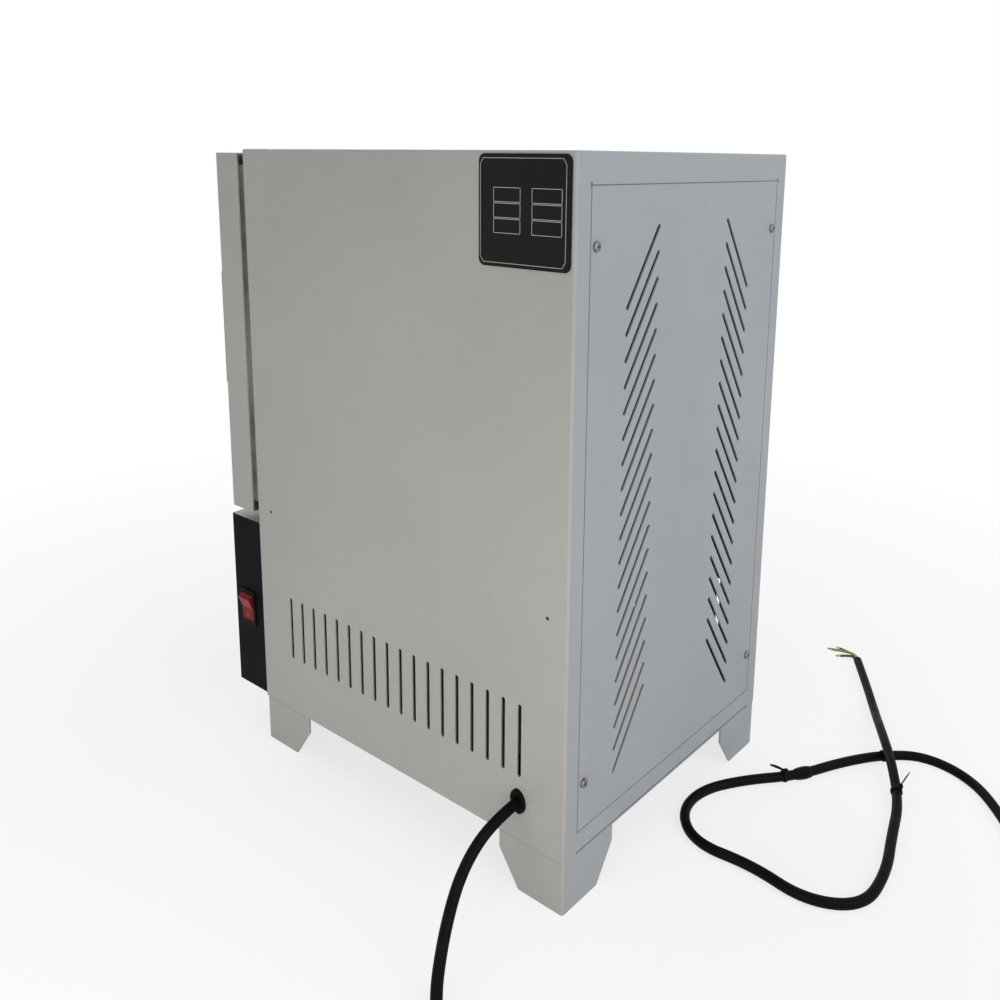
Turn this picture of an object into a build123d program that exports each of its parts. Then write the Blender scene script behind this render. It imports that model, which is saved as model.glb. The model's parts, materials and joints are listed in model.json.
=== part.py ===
from build123d import *
import math
import os

# Box muffle furnace on four sheet legs, with a side-hung insulated door and a control box below it.
# Sizes are in millimetres. +X is the operator's right, +Y points to the rear, +Z is up.
# The pieces are worked out about the casing's centre line, with z = 0 on the floor. Then all of them
# are moved together, so that the origin is the bottom centre of the furnace without its cord.

# Outer casing
casing_width = 348.0
casing_depth = 420.0
casing_height = 600.0
sheet = 1.5
bend_radius = 2.5
bottom_edge_round = 1.2
cut_through = 1.0

# Side wall slots, the same on both sides
side_slot_count = 18
side_slot_pitch = 18.76
side_slot_length = 69.5
side_slot_width = 4.2
side_slot_height = 98.0

# Rear opening and panel
rear_border = 18.2
rear_border_top = 25.2
panel_gap = 1.0
relief_radius = 1.9
rail_height = 18.3
rail_gap = 1.7
rear_slot_count = 20
rear_slot_pitch = 22.13
rear_slot_length = 82.0
rear_slot_width = 4.0
rear_slot_lean = 34.2
rear_slot_offset = 80.5
panel_screw_inset = 6.8
panel_screw_top = 46.0
panel_screw_bottom = 44.4
inner_frame_width = 32.0

# Machine screws
screw_radius = 2.0
screw_head_radius = 4.2
screw_head_height = 2.6
screw_length = 10.0
screw_clearance = 0.25
cross_length = 4.6
cross_width = 0.9
cross_depth = 1.2

# Legs
leg_height = 50.0
leg_sheet = 2.0
leg_inset = 0.5
leg_foot_width = 50.0
leg_top_width = 73.0
leg_straight = 17.0
leg_flange = 56.0

# Base tray
tray_flange = 15.0

# Rating plate
plate_width = 94.0
plate_height = 88.8
plate_thickness = 0.8
plate_corner = 6.0
plate_rear_inset = 4.0
plate_top_inset = 2.7

# Shelf between the hot chamber and the electrics
shelf_height = 212.0
shelf_flange = 18.0
wire_hole_radius = 9.0

# Chamber and insulation
chamber_width = 150.0
chamber_height = 150.0
chamber_depth = 220.0
board = 25.0
mouth_length = 35.0
mouth_flare = 6.0
mouth_rear_flare = 1.5
mouth_boss = 24.5
shell_sheet = 1.2
side_air_gap = 28.0
top_air_gap = 12.0
rear_air_gap = 58.8
hearth_width = 140.0
hearth_depth = 210.0
hearth_thickness = 8.0

# Heating elements
element_runs = 4
element_pitch = 32.0
element_radius = 3.5
element_bend = 10.0
element_depth = 6.5
element_end_inset = 12.0
groove_width = 11.0
groove_depth = 12.0
lead_clearance = 0.7
terminal_radius = 7.0
terminal_length = 16.0

# Thermocouple
sheath_radius = 4.0
sheath_reach = 45.0
sheath_height = 48.0
thermocouple_flange_radius = 15.0
thermocouple_flange = 4.0
thermocouple_head_radius = 20.0
thermocouple_head_length = 30.0

# Door
door_lift = 11.0
door_top_inset = 4.0
door_pan_depth = 37.5
door_gap = 11.0
door_sheet = 1.5
door_step_inset = 12.0
door_step_side = 4.0
door_step_height = 8.0
seal_inset = 4.0
seal_width = 18.0
seal_clearance = 0.3
plug_length = 33.0
plug_gap = 4.0
plug_taper = 5.0
plug_corner = 6.0

# Door handle
handle_inset = 34.0
handle_length = 130.0
handle_radius = 9.0
handle_standoff = 29.0
handle_flat = 6.5
handle_post_radius = 5.0
handle_post_spacing = 90.0
handle_end_round = 4.0

# Hinges
hinge_axis_out = 6.0
hinge_length = 60.0
hinge_radius = 5.0
hinge_leaf = 2.0
hinge_leaf_reach = 37.5
hinge_leaf_relief = 7.5
hinge_end_inset = 56.0
knuckle_gap = 0.4
pin_radius = 2.5
pin_clearance = 0.05
pin_head_radius = 4.0
pin_head_height = 2.0

# Spring catch at the door's top edge
catch_inset = 12.0
catch_width = 16.0
catch_height = 8.4
catch_depth = 8.5
catch_top_inset = 2.0
tongue_thickness = 1.6
tongue_width = 10.0
tongue_clearance = 0.4
catch_back = 1.5

# Control box
control_lift = 4.0
control_height = 199.0
control_depth = 52.0
fascia_corner = 3.0
wiring_inset = 24.0
wiring_edge = 20.0

# Temperature controller
controller_x = -72.0
controller_drop = 92.0
controller_size = 96.0
controller_body = 91.0
controller_cutout = 92.0
controller_length = 76.0
bezel_depth = 9.0
bezel_round = 2.0
window_width = 78.0
window_height = 40.0
window_rise = 17.0
window_thickness = 1.5
window_recess = 1.0
window_gap = 0.2
key_count = 4
key_pitch = 19.5
key_width = 13.4
key_height = 8.4
key_drop = 28.0
key_proud = 1.0
key_thickness = 3.6
key_free = 0.6
key_clearance = 0.3
key_travel = 0.8

# Pilot lamps
lamp_x = 72.0
lamp_spacing = 50.0
lamp_drop = 70.0
lamp_bezel_radius = 14.0
lamp_bezel_height = 4.0
lamp_body_radius = 11.0
lamp_hole_radius = 11.2
lamp_body_length = 34.0
lamp_lens_radius = 10.5
lamp_lens_height = 6.0
lamp_seat = 2.5
lamp_seat_gap = 0.1

# Power rocker on the control box's right side
switch_rear_inset = 26.5
switch_rise = 95.0
switch_bezel_width = 26.0
switch_bezel_height = 40.0
switch_bezel_thickness = 2.0
switch_bezel_corner = 2.0
switch_body_width = 24.0
switch_body_height = 37.0
switch_body_length = 22.0
switch_cutout_gap = 0.3
rocker_radius = 16.2
rocker_corner_angle = 60.0
rocker_back_angle = 85.0
rocker_valley = 5.5
rocker_back = 6.0
rocker_back_half = 9.0
rocker_half_width = 9.8
rocker_gap = 0.35
rocker_tilt = 11.8
rocker_proud = 0.4
rocker_well = 16.5
trunnion_radius = 1.5
trunnion_reach = 1.5
trunnion_clearance = 0.05

# Electrics in the lower space
sink_x = -40.0
sink_width = 80.0
sink_length = 110.0
sink_height = 48.0
sink_plate = 6.0
sink_fins = 9
sink_fin = 2.0
sink_y = 40.0
relay_width = 45.0
relay_length = 58.0
relay_height = 27.0
relay_slot = 10.0
terminal_box_length = 52.0
terminal_box_width = 58.0
terminal_box_height = 54.0
terminal_lip = 3.0
terminal_cover = 2.0

# Cable grommet and cord
cord_diameter = 10.0
cord_y = 159.5
cord_height = 40.0
cord_inner_end = 16.0
grommet_hole_radius = 6.8
grommet_flange_width = 15.8
grommet_flange_height = 22.4
grommet_flange_lean = 12.0
grommet_flange = 3.2
grommet_inner_flange = 3.0
grommet_fit = 0.05
core_radius = 1.6
core_spread = 2.5
core_straight = 11.0
core_bend = 8.0

# Shared places, worked out from the sizes above
half_width = casing_width / 2
half_depth = casing_depth / 2
casing_bottom = leg_height
casing_top = leg_height + casing_height
inner_half = half_width - sheet
base_top = casing_bottom + sheet
inner_bend = bend_radius - sheet
edge_clearance = inner_bend + 0.2
front_plane = -half_depth
front_back_face = front_plane + sheet
rear_inner_face = half_depth - sheet
opening_half = half_width - rear_border
opening_top = casing_top - rear_border_top
rail_bottom = base_top + rail_gap
rail_top = rail_bottom + rail_height
panel_bottom = rail_top + panel_gap
panel_top = opening_top - panel_gap
panel_half = opening_half - panel_gap
side_slot_centre = casing_bottom + side_slot_height
rear_slot_centre = (panel_bottom + panel_top) / 2 - cut_through
control_bottom = casing_bottom + control_lift
control_top = control_bottom + control_height
control_front = front_plane - control_depth
door_bottom = control_top + door_lift
door_top = casing_top - door_top_inset
door_back = front_plane - door_gap
door_front = door_back - door_pan_depth
door_centre = (door_bottom + door_top) / 2
step_face = door_back + door_step_height
shelf_bottom = casing_bottom + shelf_height
shelf_top = shelf_bottom + sheet
shell_half = half_width - side_air_gap
shell_top = casing_top - top_air_gap
shell_back = half_depth - rear_air_gap
pack_half = shell_half - shell_sheet
pack_bottom = shelf_top + shell_sheet
pack_top = shell_top - shell_sheet
pack_back = shell_back - shell_sheet
chamber_half = chamber_width / 2
chamber_rise = chamber_height / 2
chamber_front = front_plane + mouth_length
chamber_back = chamber_front + chamber_depth
board_back = chamber_back + board
board_half = chamber_half + board
board_rise = chamber_rise + board
element_x = chamber_half + element_depth
sheath_z = door_centre + sheath_height
hinge_x = -half_width - hinge_axis_out
hinge_y = front_plane - door_gap / 2
hinge_heights = (door_bottom + hinge_end_inset, door_top - hinge_end_inset)
catch_x = half_width - catch_inset
catch_z = door_top - catch_top_inset - catch_height / 2
controller_z = control_top - controller_drop
bezel_front = control_front - bezel_depth
lamp_z = control_top - lamp_drop
switch_y = front_plane - switch_rear_inset
switch_z = control_bottom + switch_rise
bezel_face = half_width + switch_bezel_thickness
rocker_pivot = bezel_face + rocker_proud - rocker_valley
cord_z = casing_bottom + cord_height
cord_start = half_width - cord_inner_end
cord_radius = cord_diameter / 2
handle_x = half_width - handle_inset
handle_y = door_front - handle_standoff - handle_flat
element_levels = [
    door_centre + (index - (element_runs - 1) / 2) * element_pitch for index in range(element_runs)
]

# The origin of the finished part: the middle of its reach to each side, to the front and to the rear
left_reach = -hinge_x + hinge_radius
proud_angle = math.radians(rocker_corner_angle - rocker_tilt)
right_reach = rocker_pivot + rocker_radius * math.cos(proud_angle)
front_reach = -handle_y + handle_radius
rear_reach = half_depth + screw_head_height
origin = Vector((right_reach - left_reach) / 2, (rear_reach - front_reach) / 2, 0)

# The cord's route about the casing's centre line, chosen by hand: out of the grommet, down to the
# floor, round in a wide bow, once round a loop, over itself and to its bare end
cord_rest = cord_radius
cord_hump = 2.5 * cord_diameter
cord_route = [
    (cord_start, cord_y, cord_z),
    (205, cord_y, cord_z),
    (250, 163, 71),
    (284, 174, 34),
    (320, 199, cord_rest),
    (343, 243, cord_rest),
    (338, 300, cord_rest),
    (298, 352, cord_rest),
    (243, 405, cord_rest),
    (190, 466, cord_rest),
    (128, 512, cord_rest),
    (58, 541, cord_rest),
    (-14, 546, cord_rest),
    (-86, 532, cord_rest),
    (-152, 503, cord_rest),
    (-211, 467, cord_rest),
    (-256, 424, cord_rest),
    (-266, 372, cord_rest),
    (-238, 336, cord_rest),
    (-194, 306, cord_rest),
    (-142, 281, cord_rest),
    (-96, 240, cord_rest),
    (-52, 215, cord_rest),
    (-8, 218, cord_rest),
    (22, 252, cord_rest),
    (14, 308, cord_rest),
    (24, 364, cord_rest),
    (-3, 407, cord_rest),
    (-58, 406, cord_rest),
    (-110, 392, cord_rest),
    (-166, 379, cord_rest),
    (-216, 352, cord_hump),
    (-265, 323, cord_hump),
    (-315, 298, cord_rest),
    (-369, 267, cord_rest),
    (-425, 233, cord_rest),
]

# The cut ends of the three cores, bent to one side, as turn about the cord's axis, X and Y
core_ends = [
    (90, -438, 190),
    (210, -427, 207),
    (330, -448, 198),
]


def block(xs, ys, zs):
    """A block between the given pairs of X, Y and Z limits."""
    middle = [(low + high) / 2 for low, high in (xs, ys, zs)]
    size = [high - low for low, high in (xs, ys, zs)]
    return Pos(*middle) * Box(*size)


def both(half):
    """The limits of something centred on zero."""
    return (-half, half)


def around(centre, half):
    """The limits of something centred on a height or a place."""
    return (centre - half, centre + half)


def rod_x(radius, xs, y, z):
    """A cylinder along X."""
    return Pos((xs[0] + xs[1]) / 2, y, z) * Rot(0, 90, 0) * Cylinder(radius, xs[1] - xs[0])


def rod_y(radius, x, ys, z):
    """A cylinder along Y."""
    return Pos(x, (ys[0] + ys[1]) / 2, z) * Rot(90, 0, 0) * Cylinder(radius, ys[1] - ys[0])


def bent_box(xs, ys, zs, radius):
    """A box with its two rear upright edges and three of its top edges rounded."""
    box = block(xs, ys, zs)
    upright = box.edges().filter_by(Axis.Z).group_by(Axis.Y)[-1]
    top = box.faces().sort_by(Axis.Z)[-1].edges().sort_by(Axis.Y)[1:]
    return fillet(upright + top, radius)


def rear_plane(y):
    """A sketch plane facing the front, with X to the right and Z up."""
    return Plane(origin=(0, y, 0), x_dir=(1, 0, 0), z_dir=(0, -1, 0))


# Casing and frame


def side_slot_cutters():
    """Upright slots with round ends, through both side walls."""
    plane = Plane(origin=(0, 0, side_slot_centre), x_dir=(0, 1, 0), z_dir=(1, 0, 0))
    slots = Sketch() + [
        place * SlotOverall(side_slot_length, side_slot_width, rotation=90)
        for place in GridLocations(side_slot_pitch, 1, side_slot_count, 1)
    ]
    return extrude(plane * slots, amount=half_width + cut_through, both=True)


def make_outer_casing():
    """Folded wrap: two sides, the top and the border of the rear opening."""
    outer = bent_box(both(half_width), both(half_depth), (casing_bottom, casing_top), bend_radius)
    inner = bent_box(
        both(inner_half),
        (front_plane - cut_through, rear_inner_face),
        (casing_bottom - cut_through, casing_top - sheet),
        inner_bend,
    )
    wrap = outer - inner
    bottom = wrap.edges().group_by(Axis.Z)[0]
    side_edges = bottom.filter_by(Axis.Y).group_by(lambda edge: round(abs(edge.center().X), 3))[-1]
    wrap = fillet(side_edges, bottom_edge_round)
    rear = (rear_inner_face - cut_through, half_depth + cut_through)
    wrap -= block(both(opening_half), rear, (casing_bottom - cut_through, opening_top))
    for x in both(opening_half):
        wrap -= rod_y(relief_radius, x, rear, opening_top)
    wrap -= side_slot_cutters()
    hole = (inner_half - cut_through, half_width + cut_through)
    wrap -= rod_x(grommet_hole_radius, hole, cord_y, cord_z)
    return wrap


def make_front_frame():
    """Front sheet of the casing, with the furnace mouth above and the wiring opening below."""
    plate = block(both(inner_half), (front_plane, front_back_face), (base_top, casing_top - sheet))
    top_corners = plate.edges().filter_by(Axis.Y).group_by(Axis.Z)[-1]
    plate = fillet(top_corners, edge_clearance)
    through = (front_plane - cut_through, front_back_face + cut_through)
    hole = chamber_half + mouth_boss + screw_clearance
    plate -= block(both(hole), through, around(door_centre, hole))
    wiring = (control_bottom + wiring_edge, control_top - wiring_edge)
    plate -= block(both(half_width - wiring_inset), through, wiring)
    return plate


def make_base_pan():
    """Bottom tray with two low side flanges and a lip under the rear rail."""
    tray = block(both(inner_half), (front_plane, rear_inner_face), (casing_bottom, base_top))
    tray = fillet(tray.edges().filter_by(Axis.Z).group_by(Axis.Y)[-1], edge_clearance)
    tray += block(
        both(opening_half - panel_gap), (rear_inner_face, half_depth), (casing_bottom, base_top)
    )
    for side in (-1, 1):
        walls = sorted((side * (inner_half - sheet), side * inner_half))
        ends = (front_back_face, rear_inner_face - sheet - screw_clearance)
        tray += block(walls, ends, (base_top, base_top + tray_flange))
    return tray


def make_rear_rail():
    """Low cross strip under the rear panel, flush with the casing's borders and against them."""
    return block(both(opening_half), (rear_inner_face, half_depth), (rail_bottom, rail_top))


def panel_screw_places():
    """X and Z of the four screws of the rear panel."""
    x = panel_half - panel_screw_inset
    return [
        (side * x, z)
        for side in (-1, 1)
        for z in (panel_bottom + panel_screw_bottom, panel_top - panel_screw_top)
    ]


def make_rear_inner_frame():
    """Ring behind the rear opening that the panel is screwed to."""
    ys = (rear_inner_face - sheet, rear_inner_face)
    wide = inner_half - edge_clearance
    ring = block(both(wide), ys, (base_top, casing_top - sheet - edge_clearance))
    through = (ys[0] - cut_through, ys[1] + cut_through)
    inner = wide - inner_frame_width
    ring -= block(both(inner), through, (rail_top + inner_frame_width, opening_top - inner_frame_width))
    for x, z in panel_screw_places():
        ring -= rod_y(screw_radius + screw_clearance, x, through, z)
    return ring


def make_back_panel():
    """Removable rear panel with two columns of slanted slots, mirrored about the middle."""
    panel = block(both(panel_half), (rear_inner_face, half_depth), (panel_bottom, panel_top))
    slot = SlotOverall(rear_slot_length, rear_slot_width)
    slots = Sketch()
    for side in (-1, 1):
        column = GridLocations(1, rear_slot_pitch, 1, rear_slot_count)
        for place in column:
            leaned = Rot(0, 0, side * (rear_slot_lean - 90)) * slot
            slots += Pos(side * rear_slot_offset, rear_slot_centre, 0) * place * leaned
    panel -= extrude(rear_plane(half_depth + cut_through) * slots, amount=sheet + 2 * cut_through)
    through = (rear_inner_face - cut_through, half_depth + cut_through)
    for x, z in panel_screw_places():
        panel -= rod_y(screw_radius + screw_clearance, x, through, z)
    return panel


def make_panel_screw():
    """Pan head screw with a cross recess, with its head's seat at z = 0 and its shank down."""
    head = Pos(0, 0, screw_head_height / 2) * Cylinder(screw_head_radius, screw_head_height)
    head = fillet(head.edges().group_by(Axis.Z)[-1], screw_head_height / 2)
    for turn in (0, 90):
        groove = Box(cross_length, cross_width, 2 * cross_depth)
        head -= Pos(0, 0, screw_head_height) * Rot(0, 0, turn) * groove
    return head + Pos(0, 0, -screw_length / 2) * Cylinder(screw_radius, screw_length)


def make_back_panel_screws():
    """The four screws of the rear panel."""
    screw = make_panel_screw()
    return Compound(
        children=[Pos(x, half_depth, z) * Rot(-90, 0, 0) * screw for x, z in panel_screw_places()]
    )


def make_leg(side, end):
    """Corner leg folded from sheet, wide at the top and tapered to the foot."""
    x_out = half_width - leg_inset
    y_out = half_depth - leg_inset
    knee = leg_height - leg_straight
    outline = [
        (0, 0),
        (-leg_foot_width, 0),
        (-leg_top_width, knee),
        (-leg_top_width, leg_height),
        (0, leg_height),
    ]
    face = make_face(Polyline(*outline, close=True))
    side_plane = Plane(origin=(x_out, y_out, 0), x_dir=(0, 1, 0), z_dir=(1, 0, 0))
    end_plane = Plane(origin=(x_out, y_out, 0), x_dir=(1, 0, 0), z_dir=(0, -1, 0))
    leg = extrude(side_plane * face, amount=-leg_sheet) + extrude(end_plane * face, amount=leg_sheet)
    flange = [
        (0, 0),
        (-leg_flange, 0),
        (-leg_flange, -leg_flange / 2),
        (-leg_flange / 2, -leg_flange),
        (0, -leg_flange),
    ]
    top_plane = Plane(origin=(x_out - leg_sheet, y_out - leg_sheet, leg_height))
    leg += extrude(top_plane * make_face(Polyline(*flange, close=True)), amount=-leg_sheet)
    corner = leg.edges().filter_by(Axis.Z).sort_by(lambda edge: edge.center().X + edge.center().Y)[-1]
    leg = fillet(corner, bend_radius)
    if side < 0:
        leg = mirror(leg, about=Plane.YZ)
    if end < 0:
        leg = mirror(leg, about=Plane.XZ)
    return leg


def make_rating_plate():
    """Bare plate with round corners, near the top rear corner of the right side."""
    rear = half_depth - plate_rear_inset
    top = casing_top - plate_top_inset
    plate = block(
        (half_width, half_width + plate_thickness), (rear - plate_width, rear), (top - plate_height, top)
    )
    return fillet(plate.edges().filter_by(Axis.X), plate_corner)


# Hot chamber


def make_divider_shelf():
    """Shelf that carries the inner shell, with a flange turned up along each side wall."""
    ends = (front_back_face, rear_inner_face - sheet - screw_clearance)
    shelf = block(both(inner_half), ends, (shelf_bottom, shelf_top))
    for side in (-1, 1):
        walls = sorted((side * (inner_half - sheet), side * inner_half))
        shelf += block(walls, ends, (shelf_top, shelf_top + shelf_flange))
    hole_y = (shell_back + rear_inner_face) / 2
    for side in (-1, 1):
        hole = Cylinder(wire_hole_radius, sheet + 2 * cut_through)
        shelf -= Pos(side * board_half, hole_y, shelf_bottom + sheet / 2) * hole
    return shelf


def rear_passages(ys):
    """Cutters for the four element leads and the thermocouple, along the given stretch of Y."""
    cutters = [rod_y(sheath_radius + lead_clearance, 0, ys, sheath_z)]
    for side in (-1, 1):
        for z in (element_levels[0], element_levels[-1]):
            cutters.append(rod_y(element_radius + lead_clearance, side * element_x, ys, z))
    return cutters


def make_inner_shell():
    """Sheet box around the insulation, open at the front."""
    shell = block(both(shell_half), (front_back_face, shell_back), (shelf_top, shell_top))
    shell -= block(
        both(pack_half), (front_back_face - cut_through, pack_back), (pack_bottom, pack_top)
    )
    for cutter in rear_passages((pack_back - cut_through, shell_back + cut_through)):
        shell -= cutter
    return shell


def square_frustum(front_half, front_y, rear_half, rear_y, corner):
    """A square block about the mouth's middle that tapers from front to rear."""
    ends = []
    for half, y in ((front_half, front_y), (rear_half, rear_y)):
        square = RectangleRounded(2 * half, 2 * half, corner)
        ends.append(Plane(origin=(0, y, door_centre), x_dir=(1, 0, 0), z_dir=(0, -1, 0)) * square)
    return loft(ends)


def make_mouth_frame():
    """Fibre frame around the furnace mouth, with a boss that fills the front sheet's opening."""
    frame = block(both(pack_half), (front_back_face, chamber_front), (pack_bottom, pack_top))
    boss = chamber_half + mouth_boss
    frame += block(both(boss), (front_plane, front_back_face), around(door_centre, boss))
    frame -= square_frustum(
        chamber_half + mouth_flare,
        front_plane - cut_through,
        chamber_half + mouth_rear_flare,
        chamber_front + cut_through,
        plug_corner,
    )
    return frame


def make_level_board(low, high):
    """A chamber board that lies flat between two heights, over the chamber's whole width."""
    return block(both(board_half), (chamber_front, chamber_back), (low, high))


def make_back_board():
    """Rear wall of the chamber."""
    wall = block(both(board_half), (chamber_back, board_back), around(door_centre, board_rise))
    for cutter in rear_passages((chamber_back - cut_through, board_back + cut_through)):
        wall -= cutter
    return wall


def element_path(side):
    """Centre line of one heating element: runs back and forth, with both leads to the rear."""
    front = chamber_front + element_end_inset + element_bend
    rear = chamber_back - element_end_inset
    tail = shell_back + terminal_length
    x = side * element_x
    points = [(x, tail, element_levels[-1])]
    ends = (front, rear)
    for index in range(element_runs - 1):
        y = ends[index % 2]
        points.append((x, y, element_levels[-1 - index]))
        points.append((x, y, element_levels[-2 - index]))
    points.append((x, tail, element_levels[0]))
    return FilletPolyline(*points, radius=element_bend)


def make_heater_board(side):
    """Side wall of the chamber, with the grooves that hold one heating element."""
    xs = sorted((side * chamber_half, side * board_half))
    wall = block(xs, (chamber_front, chamber_back), around(door_centre, chamber_rise))
    groove_xs = sorted((side * (chamber_half - cut_through), side * (chamber_half + groove_depth)))
    front = chamber_front + element_end_inset + element_bend - groove_width / 2
    rear = chamber_back - element_end_inset + groove_width / 2
    half = groove_width / 2
    for index, z in enumerate(element_levels):
        open_end = chamber_back + cut_through if index in (0, element_runs - 1) else rear
        wall -= block(groove_xs, (front, open_end), around(z, half))
    for index in range(element_runs - 1):
        low, high = element_levels[-2 - index], element_levels[-1 - index]
        ys = (front, front + groove_width) if index % 2 == 0 else (rear - groove_width, rear)
        wall -= block(groove_xs, ys, (low - half, high + half))
    return wall


def make_heating_elements():
    """One heating element in each side wall."""
    elements = []
    for side in (-1, 1):
        path = element_path(side)
        start = Plane(origin=path @ 0, z_dir=path % 0)
        elements.append(sweep(start * Circle(element_radius), path=path))
    return Compound(children=elements)


def make_element_terminals():
    """Ceramic bush around each element lead, behind the inner shell."""
    bushes = []
    for side in (-1, 1):
        for z in (element_levels[0], element_levels[-1]):
            ys = (shell_back, shell_back + terminal_length)
            bush = rod_y(terminal_radius, side * element_x, ys, z)
            bore = (ys[0] - cut_through, ys[1] + cut_through)
            bushes.append(bush - rod_y(element_radius + grommet_fit, side * element_x, bore, z))
    return Compound(children=bushes)


def make_hearth_plate():
    """Loose ceramic plate on the chamber's floor."""
    middle = (chamber_front + chamber_back) / 2
    floor_z = door_centre - chamber_rise
    plate = block(
        both(hearth_width / 2), around(middle, hearth_depth / 2), (floor_z, floor_z + hearth_thickness)
    )
    return fillet(plate.edges().filter_by(Axis.Z), plate_corner)


def make_insulation_side(side):
    """Fibre pack beside the chamber, from the mouth frame to the rear of the inner shell."""
    xs = sorted((side * board_half, side * pack_half))
    return block(xs, (chamber_front, pack_back), around(door_centre, board_rise))


def make_insulation_level(low, high):
    """Fibre pack above or below the chamber."""
    return block(both(pack_half), (chamber_front, pack_back), (low, high))


def make_insulation_rear():
    """Fibre pack behind the chamber, with passages for the leads and the thermocouple."""
    pack = block(both(board_half), (board_back, pack_back), around(door_centre, board_rise))
    for cutter in rear_passages((board_back - cut_through, pack_back + cut_through)):
        pack -= cutter
    return pack


def make_thermocouple_sheath():
    """Ceramic tube that reaches into the chamber, with a round tip."""
    tube = rod_y(sheath_radius, 0, (chamber_back - sheath_reach, shell_back), sheath_z)
    return fillet(tube.edges().sort_by(Axis.Y)[0], sheath_radius * 0.8)


def make_thermocouple_head():
    """Round connection head with its flange against the inner shell."""
    flange_ys = (shell_back, shell_back + thermocouple_flange)
    head_ys = (flange_ys[1], flange_ys[1] + thermocouple_head_length)
    head = rod_y(thermocouple_head_radius, 0, head_ys, sheath_z)
    head = fillet(head.edges().sort_by(Axis.Y)[-1], thermocouple_flange)
    return head + rod_y(thermocouple_flange_radius, 0, flange_ys, sheath_z)


# Door


def make_door_shell():
    """Outer pan of the door, open towards the furnace."""
    outer = block(both(half_width), (door_front, door_back), (door_bottom, door_top))
    outer = fillet(outer.faces().sort_by(Axis.Y)[0].edges(), bend_radius)
    inner = block(
        both(half_width - door_sheet),
        (door_front + door_sheet, door_back + cut_through),
        (door_bottom + door_sheet, door_top - door_sheet),
    )
    return outer - inner


def door_step(grow, ys):
    """The raised middle of the door's inner side, larger or smaller by a sheet."""
    half = half_width - door_step_side + grow
    return block(both(half), ys, (door_bottom + door_step_inset - grow, door_top - door_step_inset + grow))


def make_door_inner_panel():
    """Stepped sheet that closes the door pan, with a square hole for the plug."""
    cover_ys = (door_back - door_sheet, door_back)
    panel = block(
        both(half_width - door_sheet), cover_ys, (door_bottom + door_sheet, door_top - door_sheet)
    )
    panel += door_step(0, (door_back, step_face))
    panel -= door_step(-door_sheet, (door_back - door_sheet - cut_through, step_face - door_sheet))
    hole = chamber_half + mouth_flare - plug_gap + screw_clearance + door_sheet
    panel -= block(
        both(hole), (step_face - door_sheet - cut_through, step_face + cut_through), around(door_centre, hole)
    )
    return panel


def make_door_insulation():
    """Fibre slab that fills the door pan and its raised middle."""
    slab = block(
        both(half_width - door_sheet),
        (door_front + door_sheet, door_back - door_sheet),
        (door_bottom + door_sheet, door_top - door_sheet),
    )
    return slab + door_step(-door_sheet, (door_back - door_sheet, step_face - door_sheet))


def make_door_plug():
    """Tapered fibre plug that enters the furnace mouth."""
    base = chamber_half + mouth_flare - plug_gap
    return square_frustum(
        base, step_face - door_sheet, base - plug_taper, step_face + plug_length, plug_corner
    )


def make_door_seal():
    """Flat braided seal around the door's raised middle."""
    ys = (step_face, front_plane - seal_clearance)
    outer = half_width - door_step_side - seal_inset
    low = door_bottom + door_step_inset + seal_inset
    high = door_top - door_step_inset - seal_inset
    ring = block(both(outer), ys, (low, high))
    through = (ys[0] - cut_through, ys[1] + cut_through)
    ring -= block(both(outer - seal_width), through, (low + seal_width, high - seal_width))
    return fillet(ring.edges().filter_by(Axis.Y), plug_corner)


def make_handle_bar():
    """Upright hand bar with rounded ends and a flat for the posts."""
    bar = Cylinder(handle_radius, handle_length)
    bar = fillet(bar.edges(), handle_end_round)
    bar -= block(
        both(handle_radius), (handle_flat, handle_radius + cut_through), both(handle_length)
    )
    return Pos(handle_x, handle_y, door_centre) * bar


def make_handle_posts():
    """Two turned posts between the door and the hand bar, each with a foot flange."""
    posts = []
    seat = handle_y + handle_flat
    for z in around(door_centre, handle_post_spacing / 2):
        post = rod_y(handle_post_radius, handle_x, (seat, door_front), z)
        foot = (door_front - handle_end_round, door_front)
        posts.append(post + rod_y(handle_radius, handle_x, foot, z))
    return Compound(children=posts)


def knuckle_levels(owner):
    """Height limits of the knuckles of the casing's leaf or the door's leaf, about zero."""
    third = hinge_length / 3
    gap = knuckle_gap / 2
    bottom = -hinge_length / 2
    if owner == "door":
        return [(bottom + third + gap, bottom + 2 * third - gap)]
    return [(bottom, bottom + third - gap), (bottom + 2 * third + gap, -bottom)]


def make_hinge_leaf(owner):
    """One leaf with its knuckles. The pin's axis is the Z axis."""
    way = 1 if owner == "casing" else -1
    xs = (hinge_axis_out - hinge_leaf, hinge_axis_out)
    plate_ys = sorted((way * hinge_leaf_relief, way * hinge_leaf_reach))
    link_ys = sorted((0, way * hinge_leaf_relief))
    leaf = block(xs, plate_ys, both(hinge_length / 2))
    for low, high in knuckle_levels(owner):
        leaf += block(xs, link_ys, (low, high))
        leaf += Pos(0, 0, (low + high) / 2) * Cylinder(hinge_radius, high - low)
    return leaf - Cylinder(pin_radius + pin_clearance, hinge_length + 2 * cut_through)


def make_hinge_leaves(owner):
    """The upper and the lower leaf on the casing or on the door."""
    leaf = make_hinge_leaf(owner)
    return Compound(children=[Pos(hinge_x, hinge_y, z) * leaf for z in hinge_heights])


def make_hinge_pins():
    """Headed pin of each hinge, dropped in from above."""
    pin = Cylinder(pin_radius, hinge_length)
    pin += Pos(0, 0, (hinge_length + pin_head_height) / 2) * Cylinder(pin_head_radius, pin_head_height)
    return Compound(children=[Pos(hinge_x, hinge_y, z) * pin for z in hinge_heights])


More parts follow.
